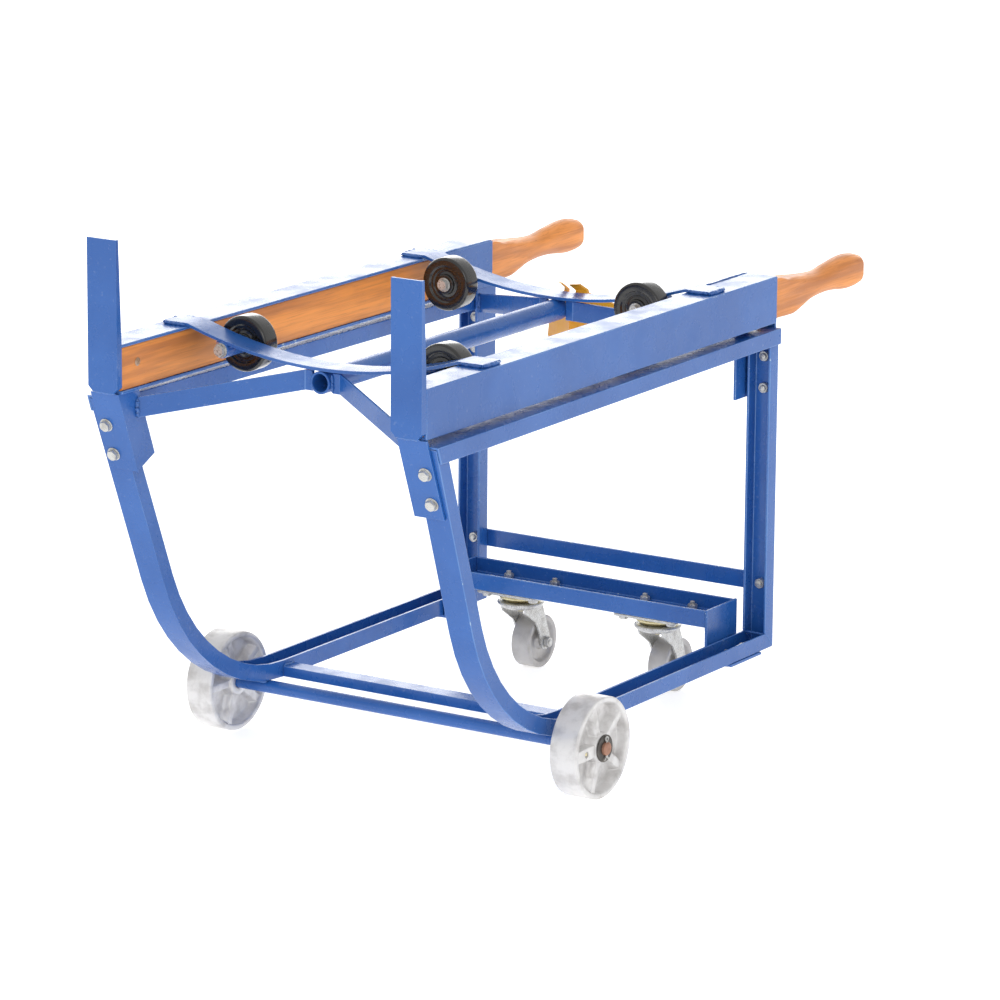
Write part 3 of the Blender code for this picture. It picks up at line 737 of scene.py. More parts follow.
def rounded_copy(node: str, width: float, segments: int = 2, angle: float = 28.0) -> bpy.types.Mesh:
    """A CAD node's shape with its sharp edges rounded; the rounded faces take material 1.

    Args:
        node: the CAD node.
        width: size of the rounding.
        segments: facets across it.
        angle: smallest edge angle that is rounded, in degrees.

    Returns:
        The mesh.
    """
    bm = bmesh.new()
    bm.from_mesh(frame["nodes"][node].data)
    bmesh.ops.remove_doubles(bm, verts=bm.verts, dist=0.00002)
    bmesh.ops.dissolve_limit(bm, angle_limit=math.radians(1.0), verts=bm.verts, edges=bm.edges)
    for face in bm.faces:
        face.material_index = 0
        face.smooth = True
    limit = math.radians(angle)
    sharp = [e for e in bm.edges if len(e.link_faces) == 2 and e.calc_face_angle(0.0) > limit]
    bmesh.ops.bevel(bm, geom=sharp, offset=width, offset_type="OFFSET", segments=segments, profile=0.5,
                    affect="EDGES", clamp_overlap=True, material=1, harden_normals=False)
    return closed_mesh(bm, node)


@dataclass
class Piece:
    """One finished piece: its mesh, what it rides on and what it stands for."""

    name: str
    mesh: bpy.types.Mesh
    body: str
    slot: Slot
    finishes: Sequence[Finish]
    stands_for: Sequence[str] = ()
    sharp: float = 35.0
    weighted: bool = False

    def make(self) -> bpy.types.Object:
        """Link the piece, dress it and tie it to its body.

        Returns:
            The object.
        """
        for finish in self.finishes:
            self.mesh.materials.append(finish.material)
        self.mesh.shade_smooth()
        self.mesh.set_sharp_from_angle(angle=math.radians(self.sharp))
        piece = bpy.data.objects.new(self.name, self.mesh)
        bpy.context.scene.collection.objects.link(piece)
        if self.weighted:
            modifier = piece.modifiers.new("even_shading", "WEIGHTED_NORMAL")
            modifier.keep_sharp = True
        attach(piece, self.body)
        if self.stands_for:
            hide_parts(*self.stands_for)
        LOG.info("%s on %s, %d faces", self.name, self.body, len(self.mesh.polygons))
        return piece


# ---------------------------------------------------------------- sub-assemblies


@dataclass
class FormedSteel:
    """Welded steel of the frame: every bar, plate and bracket keeps its size and gets rounded edges."""

    pairs: dict[str, float] = field(default_factory=lambda: {
        "side_rail": 0.0016, "toe_plate": 0.0010, "front_bracket": 0.0012, "rear_bracket": 0.0012,
        "front_leg": 0.0014, "rear_leg": 0.0014, "top_bar": 0.0013, "channel_end": 0.0012,
        "handle_keeper": 0.0010, "v_brace_front": 0.0010, "v_brace_rear": 0.0010,
    })
    singles: dict[str, float] = field(default_factory=lambda: {
        "cradle_strap_front": 0.0011, "cradle_strap_rear": 0.0011, "front_cross_bar": 0.0008,
        "rear_cross_bar": 0.0011, "caster_channel": 0.0012,
    })

    def build(self) -> None:
        """Make every bar, plate and bracket with its own rounding."""
        sizes = {f"{name}_{side.tag}": size for name, size in self.pairs.items() for side in Side}
        for node, size in {**sizes, **self.singles}.items():
            # Rounded edges take the lighter enamel copy: a painted highlight along every edge, plus real
            # chips.
            Piece(f"{node}_steel", rounded_copy(node, size), cad_body(node), Slot.BLUE,
                  (Finish.BLUE, Finish.BLUE_EDGE), (node,), weighted=True).make()


@dataclass
class RoundSteel:
    """Centre tube and front axle."""

    tube_chamfer: float = 0.0010
    tube_bore: float = 0.0133
    axle_bare: float = 0.0460
    axle_chamfer: float = 0.0016

    def build(self) -> None:
        """Make the tube and the axle."""
        self.tube()
        self.axle()

    def tube(self) -> None:
        """Pipe under the cradle straps with deburred ends."""
        centre, half = middle_and_half("centre_tube")
        radius, end, cut, bore = half.x, half.y, self.tube_chamfer, self.tube_bore
        profile = [(bore + cut, end), (radius - cut, end), (radius, end - cut), (radius, 0.0),
                   (radius, cut - end), (radius - cut, -end), (bore + cut, -end), (bore, cut - end),
                   (bore, end - cut)]
        bm = bmesh.new()
        add_rings(bm, [spun(profile, angle) for angle in around(56)], looped=True)
        mesh = placed(closed_mesh(bm, "centre_tube"), centre, Axis.Y.value)
        Piece("centre_tube_pipe", mesh, "frame", Slot.BLUE, (Finish.BLUE,), ("centre_tube",)).make()

    def axle(self) -> None:
        """Solid axle: painted between the loops, bare and rusty at its ends."""
        centre, half = middle_and_half("front_axle")
        radius, end, cut = half.z, half.x, self.axle_chamfer
        bare = end - self.axle_bare
        profile = [(0.0004, end - 0.0004), (radius - 0.0018, end), (radius, end - cut), (radius, bare),
                   (radius, -bare), (radius, cut - end), (radius - 0.0018, -end), (0.0004, 0.0004 - end)]
        mesh = placed(lathe("front_axle", profile, 48, parts=(1, 1, 1, 0, 1, 1, 1)), centre, Axis.X.value)
        finishes = (Finish.BLUE, Finish.RUSTY)
        Piece("front_axle_bar", mesh, "frame", Slot.BLUE, finishes, ("front_axle",)).make()


@dataclass
class WoodenHandle:
    """Beam that fills a rail, with a shaped grip behind it.

    A station is (distance behind the toe plates' face, underside, top, half width, corner radius).
    """

    side: Side
    stations: Sequence[tuple[float, float, float, float, float]] = (
        (0.0135, 0.6036, 0.6664, 0.0221, 0.0018), (0.0150, 0.6036, 0.6664, 0.0221, 0.0018),
        (0.4000, 0.6036, 0.6664, 0.0221, 0.0018), (0.9850, 0.6036, 0.6664, 0.0221, 0.0018),
        (1.0100, 0.6030, 0.6650, 0.0220, 0.0030), (1.0370, 0.6010, 0.6590, 0.0215, 0.0060),
        (1.0580, 0.6000, 0.6575, 0.0210, 0.0090), (1.0800, 0.6030, 0.6555, 0.0200, 0.0120),
        (1.1140, 0.6100, 0.6525, 0.0190, 0.0150), (1.1500, 0.6130, 0.6515, 0.0185, 0.0170),
        (1.1900, 0.6130, 0.6570, 0.0190, 0.0180), (1.2380, 0.6080, 0.6620, 0.0195, 0.0180),
        (1.2640, 0.6085, 0.6605, 0.0190, 0.0175), (1.2770, 0.6110, 0.6570, 0.0178, 0.0150),
        (1.2835, 0.6140, 0.6530, 0.0150, 0.0120), (1.2848, 0.6170, 0.6500, 0.0125, 0.0100),
    )
    centre: float = 0.2587
    corner_steps: int = 7
    fine: int = 5
    beam_end: int = 3
    curved: tuple[int, int] = (4, 11)

    def build(self) -> None:
        """Make the handle."""
        bm = bmesh.new()
        add_rings(bm, [self.section(*station) for station in self.fine_stations()])
        node = f"wood_handle_{self.side.tag}"
        mesh = closed_mesh(bm, node)
        Piece(f"{node}_timber", mesh, "frame", Slot.WOOD, (Finish.WOOD,), (node,), sharp=50.0).make()

    def fine_stations(self) -> list[tuple[float, ...]]:
        """Extra stations on a smooth line through the grip's own, and on straight ones near its ends.

        Returns:
            Stations of (distance, low, high, half width, corner).
        """
        last = len(self.stations) - 1
        result = list(self.stations[:self.beam_end + 1])
        for i in range(self.beam_end, last):
            a, b, c, d = (self.stations[min(j, last)] for j in range(i - 1, i + 3))
            is_curved = self.curved[0] <= i <= self.curved[1]
            for k in range(1, self.fine + 1):
                t = k / self.fine
                row = [self.between(*values, t) if is_curved else values[1] + (values[2] - values[1]) * t
                       for values in zip(a, b, c, d)]
                row[0] = b[0] + (c[0] - b[0]) * t
                result.append(tuple(row))
        return result

    @staticmethod
    def between(before: float, start: float, stop: float, after: float, t: float) -> float:
        """Value at share t of a smooth line from start to stop.

        Args:
            before: value before start.
            start: value at 0.
            stop: value at 1.
            after: value after stop.
            t: share of the way.

        Returns:
            The value.
        """
        return 0.5 * (2 * start + (stop - before) * t
                      + (2 * before - 5 * start + 4 * stop - after) * t * t
                      + (3 * start - before - 3 * stop + after) * t ** 3)

    def section(self, distance: float, low: float, high: float, half: float, corner: float) -> Ring:
        """One rounded section.

        Args:
            distance: how far behind the toe plates' face.
            low: underside.
            high: top.
            half: half width.
            corner: corner radius.

        Returns:
            The section's points.
        """
        middle, tall = (low + high) / 2, (high - low) / 2
        corner = min(corner, tall * 0.98, half * 0.98)
        outline = rounded_rectangle(half, tall, corner, corner, self.corner_steps)
        return [(self.side.value * (self.centre + x), along(distance), middle + z) for x, z in outline]


@dataclass
class Fastener:
    """Shapes of the bolts, nuts, washers and screws."""

    corner: float = 0.0087
    washer: float = 0.0105
    shank: float = 0.0048
    washer_thickness: float = 0.0016
    head_height: float = 0.0058
    nut_height: float = 0.0072
    thread: float = 0.0004

    def head(self, washer: bool = True) -> bpy.types.Mesh:
        """Hex head on a washer, standing on z = 0.

        Args:
            washer: add the washer under the head.

        Returns:
            The mesh.
        """
        bm = bmesh.new()
        base = self.washer_thickness if washer else 0.0
        if washer:
            disc = [(self.shank, 0.0), (self.washer - 0.0003, 0.0), (self.washer, 0.0004),
                    (self.washer, base - 0.0004), (self.washer - 0.0003, base), (self.shank, base)]
            add_rings(bm, round_rings(disc))
        add_rings(bm, hexagon(self.corner, self.head_height, base))
        return closed_mesh(bm, "hex_head")

    def nut(self, stub: float = 0.0040) -> bpy.types.Mesh:
        """Hex nut on z = 0 with the bolt's threaded end standing out of it.

        Args:
            stub: length of thread above the nut.

        Returns:
            The mesh.
        """
        bm = bmesh.new()
        add_rings(bm, hexagon(self.corner, self.nut_height, 0.0))
        start = self.nut_height - 0.001
        turns = 3 * max(int(stub / 0.0012), 1)
        bolt = [(self.shank - (self.thread if k % 3 == 1 else 0.0), start + stub * k / turns)
                for k in range(turns + 1)]
        add_rings(bm, round_rings(bolt + [(self.shank - 0.0010, start + stub + 0.0006)]))
        return closed_mesh(bm, "hex_nut")

    def screw(self, radius: float = 0.0062) -> bpy.types.Mesh:
        """Domed wood screw head with a cross recess, on z = 0.

        Args:
            radius: radius of the head.

        Returns:
            The mesh.
        """
        bm = bmesh.new()
        steps, bands = 32, 9
        rings = round_rings([(radius, 0.0)], steps)
        for band in range(bands, 0, -1):
            share = band / bands
            ring = []
            for angle in around(steps):
                x, y = radius * share * math.cos(angle), radius * share * math.sin(angle)
                dome = 0.0006 + 0.0020 * (1 - share ** 2)
                slot = min(abs(x), abs(y)) < 0.0008 and max(abs(x), abs(y)) < radius * 0.62
                ring.append((x, y, dome - (0.0012 if slot else 0.0)))
            rings.append(ring)
        add_rings(bm, rings)
        return closed_mesh(bm, "screw_head")


@dataclass
class FrameFasteners:
    """Bolts, nuts and screws of one side of the frame."""

    side: Side
    shapes: Fastener = field(default_factory=Fastener)
    bolt_line: float = 0.2635
    wall: float = 0.0040
    lean: float = math.radians(20.6)
    rear_heights: Sequence[float] = (0.5440, 0.4940, 0.1840)
    screw_place: tuple[float, float] = (0.0520, 0.6400)

    def build(self) -> None:
        """Make every fastener of the side."""
        self.leg_bolts()
        self.rear_bolts()
        self.channel_bolts()
        self.beam_screw()

    def leg_bolts(self) -> None:
        """Heads on the front bracket and nuts behind them."""
        out = Vector((0, -math.cos(self.lean), -math.sin(self.lean)))
        for level in ("upper", "lower"):
            node = f"frame_bolt_{self.side.tag}_{level}"
            middle = middle_and_half(node)[0]
            reach = max(v.co.dot(out) for v in frame["nodes"][node].data.vertices)
            seat = middle + out * (reach - 0.0080 - middle.dot(out))
            parts = [placed(self.shapes.head(), seat, out, 0.3),
                     placed(self.shapes.nut(), seat - out * 0.0094, -out),
                     rod([seat, seat - out * 0.0100], self.shapes.shank, 16)]
            Piece(f"{node}_hex", merged(node, parts), "frame", Slot.ZINC, (Finish.ZINC,), (node,)).make()

    def rear_bolts(self) -> None:
        """Heads behind and nuts in front of the rear bracket and the rear cross bar."""
        tag = self.side.tag
        backs = [f"rear_bracket_{tag}", f"rear_bracket_{tag}", "rear_cross_bar"]
        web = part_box(f"rear_leg_{tag}")[1].y - self.wall
        for index, (height, back) in enumerate(zip(self.rear_heights, backs)):
            x = self.side.value * self.bolt_line
            parts = [placed(self.shapes.nut(), (x, web, height), Axis.BACK_Y.value, 0.2 * index),
                     placed(self.shapes.head(), (x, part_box(back)[1].y, height), Axis.Y.value, 0.5 * index)]
            name = f"rear_bolt_{tag}_{index}"
            Piece(name, merged(name, parts), "frame", Slot.ZINC, (Finish.ZINC,)).make()

    def channel_bolts(self) -> None:
        """Bolts that hold the caster channel's end bracket under the bottom bar."""
        low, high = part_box(f"channel_end_{self.side.tag}")
        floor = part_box(f"front_leg_{self.side.tag}")[0].z + self.wall
        for index, share in enumerate((0.26, 0.76)):
            x, y = self.side.value * self.bolt_line, low.y + (high.y - low.y) * share
            parts = [placed(self.shapes.nut(), (x, y, floor), Axis.Z.value, 0.4 * index),
                     placed(self.shapes.head(False), (x, y, low.z), Axis.DOWN.value)]
            name = f"channel_bolt_{self.side.tag}_{index}"
            Piece(name, merged(name, parts), "frame", Slot.ZINC, (Finish.ZINC,)).make()

    def beam_screw(self) -> None:
        """Wood screw in the inner face of the beam."""
        low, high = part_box(f"wood_handle_{self.side.tag}")
        face = high.x if self.side is Side.LEFT else low.x
        distance, height = self.screw_place
        mesh = placed(self.shapes.screw(), (face, along(distance), height), self.side.inward, 0.5)
        Piece(f"beam_screw_{self.side.tag}", mesh, "frame", Slot.ZINC, (Finish.OLD_ZINC,)).make()


@dataclass
class CradleRoller:
    """One moulded roller of the cradle with its bush and bolt."""

    end: End
    side: Side
    bush: float = 0.0110
    bore: float = 0.0052
    tread_round: float = 0.0040
    head_depth: float = 0.0076
    nut_depth: float = 0.0116

    def build(self) -> None:
        """Make the roller and its bolt."""
        self.roller()
        self.bolt()

    def roller(self) -> None:
        """Rounded tread, stepped rings on the faces and a steel bush."""
        node = f"roller_{self.end.value}_{self.side.tag}"
        centre, size = middle_and_half(node)
        radius, half, soft = size.z, size.y, self.tread_round
        face = half - 0.0015
        rim = [(self.bush, half - 0.0004), (0.0148, half - 0.0004), (0.0156, half - 0.0016),
               (0.0160, face - 0.0030), (0.0212, face - 0.0042), (0.0226, face - 0.0026),
               (0.0272, face - 0.0030), (0.0292, face - 0.0004), (radius - soft, face)]
        outside = rounded_profile(rim, 0.0007) + quarter_turn(radius - soft, face - soft, soft, 6)
        profile = outside + [(r, -z) for r, z in reversed(outside)]
        mesh = placed(lathe(node, profile, 72, bore=self.bush - 0.0004), centre, Axis.Y.value)
        body = cad_body(node)
        Piece(f"{node}_tread", mesh, body, Slot.PHENOLIC, (Finish.PHENOLIC,), (node,), sharp=40.0).make()
        outer, inner = self.bush - 0.0005, self.bore + 0.0004
        ring = [(inner, half), (outer - 0.0005, half), (outer, half - 0.0005),
                (outer, 0.0005 - half), (outer - 0.0005, -half), (inner, -half)]
        bush = placed(lathe(f"{node}_bush", ring, 40, bore=self.bore), centre, Axis.Y.value)
        Piece(f"{node}_bush", bush, body, Slot.ZINC, (Finish.DARK_STEEL,)).make()

    def bolt(self) -> None:
        """Roller bolt: head and washer at the front, washer and nut at the back."""
        node = f"roller_bolt_{self.end.value}_{self.side.tag}"
        low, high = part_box(node)
        x, z = (low.x + high.x) / 2, (low.z + high.z) / 2
        front, back = low.y + self.head_depth, high.y - self.nut_depth
        shapes = Fastener(corner=0.0090, washer=0.0110)
        disc = [(0.0050, 0.0016), (0.0105, 0.0016), (0.0108, 0.0012), (0.0108, 0.0), (0.0050, 0.0)]
        parts = [placed(shapes.head(), (x, front, z), Axis.BACK_Y.value, 0.4 * self.side.value),
                 placed(shapes.nut(0.0030), (x, back + shapes.washer_thickness, z), Axis.Y.value, 0.7),
                 placed(lathe("washer", disc, 28, bore=0.0049), (x, back, z), Axis.Y.value),
                 rod([Vector((x, front - 0.001, z)), Vector((x, back + 0.001, z))], shapes.shank, 20)]
        Piece(f"{node}_hex", merged(node, parts), "frame", Slot.ZINC, (Finish.ZINC,), (node,)).make()


@dataclass
class CastWheel:
    """Shape of a cast wheel: rim, sunken web with ribs, and hub, as one skin over a polar grid."""

    radius: float
    half: float
    bore: float
    hub: float
    rim: float
    web: float
    ribs: int = 0
    rib_half: float = 0.0052
    rib_drop: float = 0.0042
    fillet: float = 0.0055
    edge: float = 0.0024
    steps: int = 150

    def height(self, radius: float, angle: float) -> float:
        """Half thickness at a point of the face.

        Args:
            radius: distance from the axis.
            angle: turn about the axis.

        Returns:
            Height above the wheel's middle plane.
        """
        hub = 1.0 - smooth(self.hub, self.hub + self.fillet, radius)
        rim = smooth(self.rim - self.fillet, self.rim, radius)
        level = self.web + (self.half - self.web) * max(hub, rim)
        if self.ribs:
            part = 2 * math.pi / self.ribs
            offset = abs((angle + part / 2) % part - part / 2) * radius
            width = self.rib_half + 0.0012 * smooth(self.hub, self.rim, radius)
            rib = 1.0 - smooth(width, width + 0.0040, offset)
            level = max(level, self.web + (self.half - self.rib_drop - self.web) * rib)
        return level

    def mesh(self, name: str) -> bpy.types.Mesh:
        """Build the wheel about Z.

        Args:
            name: the mesh's name.

        Returns:
            The mesh; its hub faces take material 1.
        """
        start, stop = self.hub + self.fillet, self.rim - self.fillet
        radii = [self.bore + 0.0008, (self.bore + self.hub) / 2, self.hub - 0.0004]
        radii += spread(self.hub, start, 6) + spread(start, stop, 9) + spread(stop, self.rim, 6)
        radii += [(self.rim + self.radius) / 2, self.radius - self.edge]
        corner = quarter_turn(self.radius - self.edge, self.half - self.edge, self.edge, 4)
        bm = bmesh.new()
        rings = []
        for angle in around(self.steps):
            column = [(self.bore, self.half - 0.0010)] + [(r, self.height(r, angle)) for r in radii] + corner
            whole = column + [(self.radius, 0.0)] + [(r, -z) for r, z in reversed(column)]
            rings.append(spun(whole, angle))
        add_rings(bm, rings, looped=True)
        for face in bm.faces:
            if face.calc_center_median().xy.length < self.hub:
                face.material_index = 1
        return closed_mesh(bm, name)


@dataclass
class FrontWheel:
    """Cast front wheel with its grease boss, washer and cotter pin."""

    side: Side
    ribs: int = 5
    web: float = 0.0060
    bore: float = 0.0104
    hub: float = 0.0205
    rim: float = 0.0690
    boss_place: float = 0.0440
    boss_half: tuple[float, float] = (0.0245, 0.0098)
    recess: tuple[float, float] = (0.0050, 0.0062)
    wire: float = 0.0011

    def build(self) -> None:
        """Make the wheel and what holds it."""
        self.wheel()
        self.washer()
        self.cotter()

    def wheel(self) -> None:
        """The wheel with its grease boss and fitting."""
        node = f"front_wheel_{self.side.tag}"
        centre, size = middle_and_half(node)
        half, body = size.x, cad_body(node)
        shape = CastWheel(size.z, half, self.bore, self.hub, self.rim, self.web, self.ribs)
        turn = math.pi if self.side is Side.RIGHT else 0.0
        mesh = placed(shape.mesh(node), centre, self.side.outward, turn)
        # Hub faces take the lighter casting copy and the web and rim the darker one: painted light and shade.
        finishes = (Finish.CAST, Finish.CAST_HUB)
        Piece(f"{node}_casting", mesh, body, Slot.CAST, finishes, (node,), sharp=60.0).make()
        boss = self.boss(centre, half)
        # The grease boss also takes the lighter casting copy: painted light.
        Piece(f"{node}_grease_boss", boss, body, Slot.CAST, (Finish.CAST_HUB,), sharp=40.0).make()
        fitting = lathe("fitting", rounded_profile([
            (0.0020, 0.0046), (0.0028, 0.0040), (0.0020, 0.0030), (0.0020, 0.0016), (0.0044, 0.0012),
            (0.0044, 0.0), (0.0030, -0.0020)], 0.0004), 24)
        spot = centre + Vector((self.side.value * (half - self.recess[1]), -self.boss_place, 0.0005))
        fitting = placed(fitting, spot, self.side.outward)
        Piece(f"{node}_grease_fitting", fitting, body, Slot.ZINC, (Finish.ZINC_YELLOW,)).make()

    def boss(self, centre: Vector, half: float) -> bpy.types.Mesh:
        """Flat block from the hub to the rim, with a round recess for the grease fitting.

        Args:
            centre: the wheel's middle.
            half: half the wheel's width.

        Returns:
            The mesh.
        """
        top, (hole, depth), (long, wide) = half - 0.0008, self.recess, self.boss_half
        levels = ((1.0, 0.0040, False), (1.0, top - 0.0008, False), (0.96, top, False),
                  (hole + 0.0002, top, True), (hole, top - 0.0005, True), (hole, top - depth, True),
                  (0.0010, top - depth, True))
        rings = []
        for size, x, is_round in levels:
            ring = []
            for angle in around(32):
                y, z = size * math.cos(angle), size * math.sin(angle)
                if not is_round:
                    big, small = sorted((abs(math.cos(angle)), abs(math.sin(angle))), reverse=True)
                    y, z = long * y / (big + 0.10 * small), wide * z / (big + 0.10 * small)
                ring.append((centre.x + self.side.value * x, centre.y - self.boss_place + y, centre.z + z))
            rings.append(ring)
        bm = bmesh.new()
        add_rings(bm, rings)
        return closed_mesh(bm, "grease_boss")

    def washer(self) -> None:
        """Dark flat washer outside the hub."""
        node = f"axle_washer_{self.side.tag}"
        centre, size = middle_and_half(node)
        radius, half, cut = size.z, size.x, 0.0006
        profile = [(0.0106, half), (radius - cut, half), (radius, half - cut),
                   (radius, cut - half), (radius - cut, -half), (0.0106, -half)]
        mesh = placed(lathe(node, profile, 56, bore=0.0103), centre, Axis.X.value)
        Piece(f"{node}_disc", mesh, "frame", Slot.ZINC, (Finish.DARK_STEEL,), (node,)).make()

    def cotter(self) -> None:
        """Cotter pin: an eye on top, two legs through the axle, bent apart below it."""
        node = f"cotter_pin_{self.side.tag}"
        x, y, z = middle_and_half(node)[0]
        leg = ((0.0009, 0.0110), (0.0009, -0.0100), (0.0016, -0.0125), (0.0036, -0.0150), (0.0062, -0.0166))
        eye = [(0.0032 * math.sin(t), 0.0150 + 0.0030 * math.cos(t)) for t in around(16)[:8]]
        bm = bmesh.new()
        for lean in (-1, 1):
            path = [Vector((x, y + lean * across, z + rise)) for across, rise in (*eye, *leg)]
            swept(bm, path, lambda _: self.wire, 10)
        Piece(f"{node}_wire", closed_mesh(bm, node), "frame", Slot.ZINC, (Finish.ZINC,), (node,)).make()


@dataclass
class SwivelCaster:
    """Swivel caster under the channel: plate, ball race, fork, wheel, bolt and fixings.

    The cheek's outline is (distance behind the swivel axis, height above the floor).
    """

    side: Side
    plate_hole: tuple[float, float] = (0.0430, 0.0320)
    plate_thickness: float = 0.0040
    plate_corner: float = 0.0080
    cheek: Sequence[tuple[float, float]] = (
        (-0.0235, 0.1085), (-0.0130, 0.1115), (0.0180, 0.1115), (0.0290, 0.1060), (0.0380, 0.0860),
        (0.0470, 0.0610), (0.0530, 0.0470), (0.0525, 0.0390), (0.0470, 0.0320), (0.0390, 0.0300),
        (0.0310, 0.0330), (0.0265, 0.0420), (0.0210, 0.0620), (0.0100, 0.0800), (-0.0090, 0.0930),
        (-0.0200, 0.1000),
    )
    crown: Sequence[tuple[float, float]] = (
        (0.0300, 0.1172), (0.0365, 0.1165), (0.0375, 0.1140), (0.0360, 0.1108), (0.0315, 0.1075),
        (0.0250, 0.1050), (0.0062, 0.1040),
    )
    gap: float = 0.0195
    sheet: float = 0.0030
    axle: float = 0.0046

    def build(self) -> None:
        """Make the caster."""
        self.plate()
        self.fork()
        self.wheel()
        self.bolt()
        self.fixings()

    def plate(self) -> None:
        """Top plate with rounded corners, and the ball race under it."""
        node = f"caster_plate_{self.side.tag}"
        low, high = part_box(node)
        middle, half, top = (low + high) / 2, (high - low) / 2, high.z
        rings = []
        for drop, inset in ((self.plate_thickness, 0.0005), (0.0036, 0.0), (0.0004, 0.0), (0.0, 0.0004)):
            corner = self.plate_corner
            outline = rounded_rectangle(half.x, half.y, corner, corner - inset, 6)
            rings.append([(middle.x + x, middle.y + y, top - drop) for x, y in outline])
        bm = bmesh.new()
        add_rings(bm, rings)
        mesh = closed_mesh(bm, node)
        Piece(f"{node}_sheet", mesh, "frame", Slot.ZINC, (Finish.ZINC,), (node,), sharp=30.0).make()
        cup = [(0.0300, top - 0.0040), (0.0345, top - 0.0075), (0.0352, top - 0.0105),
               (0.0335, top - 0.0130), (0.0300, top - 0.0150), (0.0290, top - 0.0165),
               (0.0060, top - 0.0170), (0.0056, 0.1000), (0.0050, 0.0990)]
        race = placed(lathe("race", rounded_profile(cup, 0.0012), 64), (middle.x, middle.y, 0.0))
        Piece(f"caster_race_{self.side.tag}", race, "frame", Slot.ZINC, (Finish.ZINC_YELLOW,)).make()

    def fork(self) -> None:
        """Pressed fork: a domed crown under the race and two cheeks."""
        node = f"caster_fork_{self.side.tag}"
        middle = middle_and_half(f"caster_plate_{self.side.tag}")[0]
        crown = lathe("crown", rounded_profile(self.crown, 0.0014), 64, bore=self.crown[-1][0])
        parts = [placed(crown, (middle.x, middle.y, 0.0))]
        for direction in (-1, 1):
            bm = bmesh.new()
            faces = (direction * self.gap, direction * (self.gap + self.sheet))
            add_rings(bm, [[(middle.x + x, middle.y + y, z) for y, z in self.cheek] for x in faces])
            edges = [e for e in bm.edges if e.calc_face_angle(0.0) > 1.0]
            bmesh.ops.bevel(bm, geom=edges, offset=0.0007, offset_type="OFFSET", segments=2, profile=0.5,
                            affect="EDGES", clamp_overlap=True)
            parts.append(closed_mesh(bm, "cheek"))
        mesh = merged(node, parts)
        Piece(f"{node}_pressing", mesh, cad_body(node), Slot.ZINC, (Finish.ZINC,), (node,), sharp=32.0).make()

    def wheel(self) -> None:
        """Cast wheel with a plain web."""
        node = f"caster_wheel_{self.side.tag}"
        centre, size = middle_and_half(node)
        half = size.x - 0.0010
        shape = CastWheel(size.z, half, 0.0052, 0.0095, 0.0345, half - 0.0065, steps=96)
        mesh = placed(shape.mesh(node), centre, Axis.X.value)
        finishes = (Finish.CASTER_CAST, Finish.DARK_STEEL)
        Piece(f"{node}_casting", mesh, cad_body(node), Slot.CAST, finishes, (node,), sharp=60.0).make()

    def bolt(self) -> None:
        """Bolt that the wheel turns on, with its nut."""
        node = f"caster_bolt_{self.side.tag}"
        centre = middle_and_half(f"caster_wheel_{self.side.tag}")[0]
        reach = Vector((self.gap + self.sheet + 0.0004, 0, 0))
        shapes = Fastener(corner=0.0088, washer=0.0098)
        parts = [placed(shapes.head(False), centre - reach, Axis.BACK_X.value),
                 placed(shapes.nut(0.0018), centre + reach, Axis.X.value, 0.3),
                 rod([centre - reach, centre + reach], self.axle, 20)]
        Piece(f"{node}_hex", merged(node, parts), cad_body(node), Slot.ZINC, (Finish.ZINC,), (node,)).make()

    def fixings(self) -> None:
        """Four bolts through the plate with nuts inside the channel."""
        low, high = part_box(f"caster_plate_{self.side.tag}")
        shapes = Fastener(corner=0.0078, washer=0.0090, shank=0.0040)
        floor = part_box("caster_channel")[0].z + 0.0045
        middle, under = (low + high) / 2, high.z - self.plate_thickness
        parts = []
        for sx in (-1, 1):
            for sy in (-1, 1):
                x, y = middle.x + sx * self.plate_hole[0], middle.y + sy * self.plate_hole[1]
                parts.append(placed(shapes.nut(0.0050), (x, y, floor), Axis.Z.value, 0.5 * sx + sy))
                parts.append(placed(shapes.head(False), (x, y, under), Axis.DOWN.value, 0.3 * sx))
        name = f"caster_fixings_{self.side.tag}"
        Piece(name, merged(name, parts), "frame", Slot.ZINC, (Finish.ZINC,)).make()


@dataclass
class ChimeHook:
    """Yellow sliding hook with its rod."""

    rounding: float = 0.0012

    def build(self) -> None:
        """Make the hook."""
        mesh = rounded_copy("chime_hook", self.rounding, 2, 24.0)
        finishes = (Finish.YELLOW, Finish.YELLOW)
        Piece("chime_hook_folded", mesh, "hook", Slot.YELLOW, finishes, ("chime_hook",), weighted=True).make()


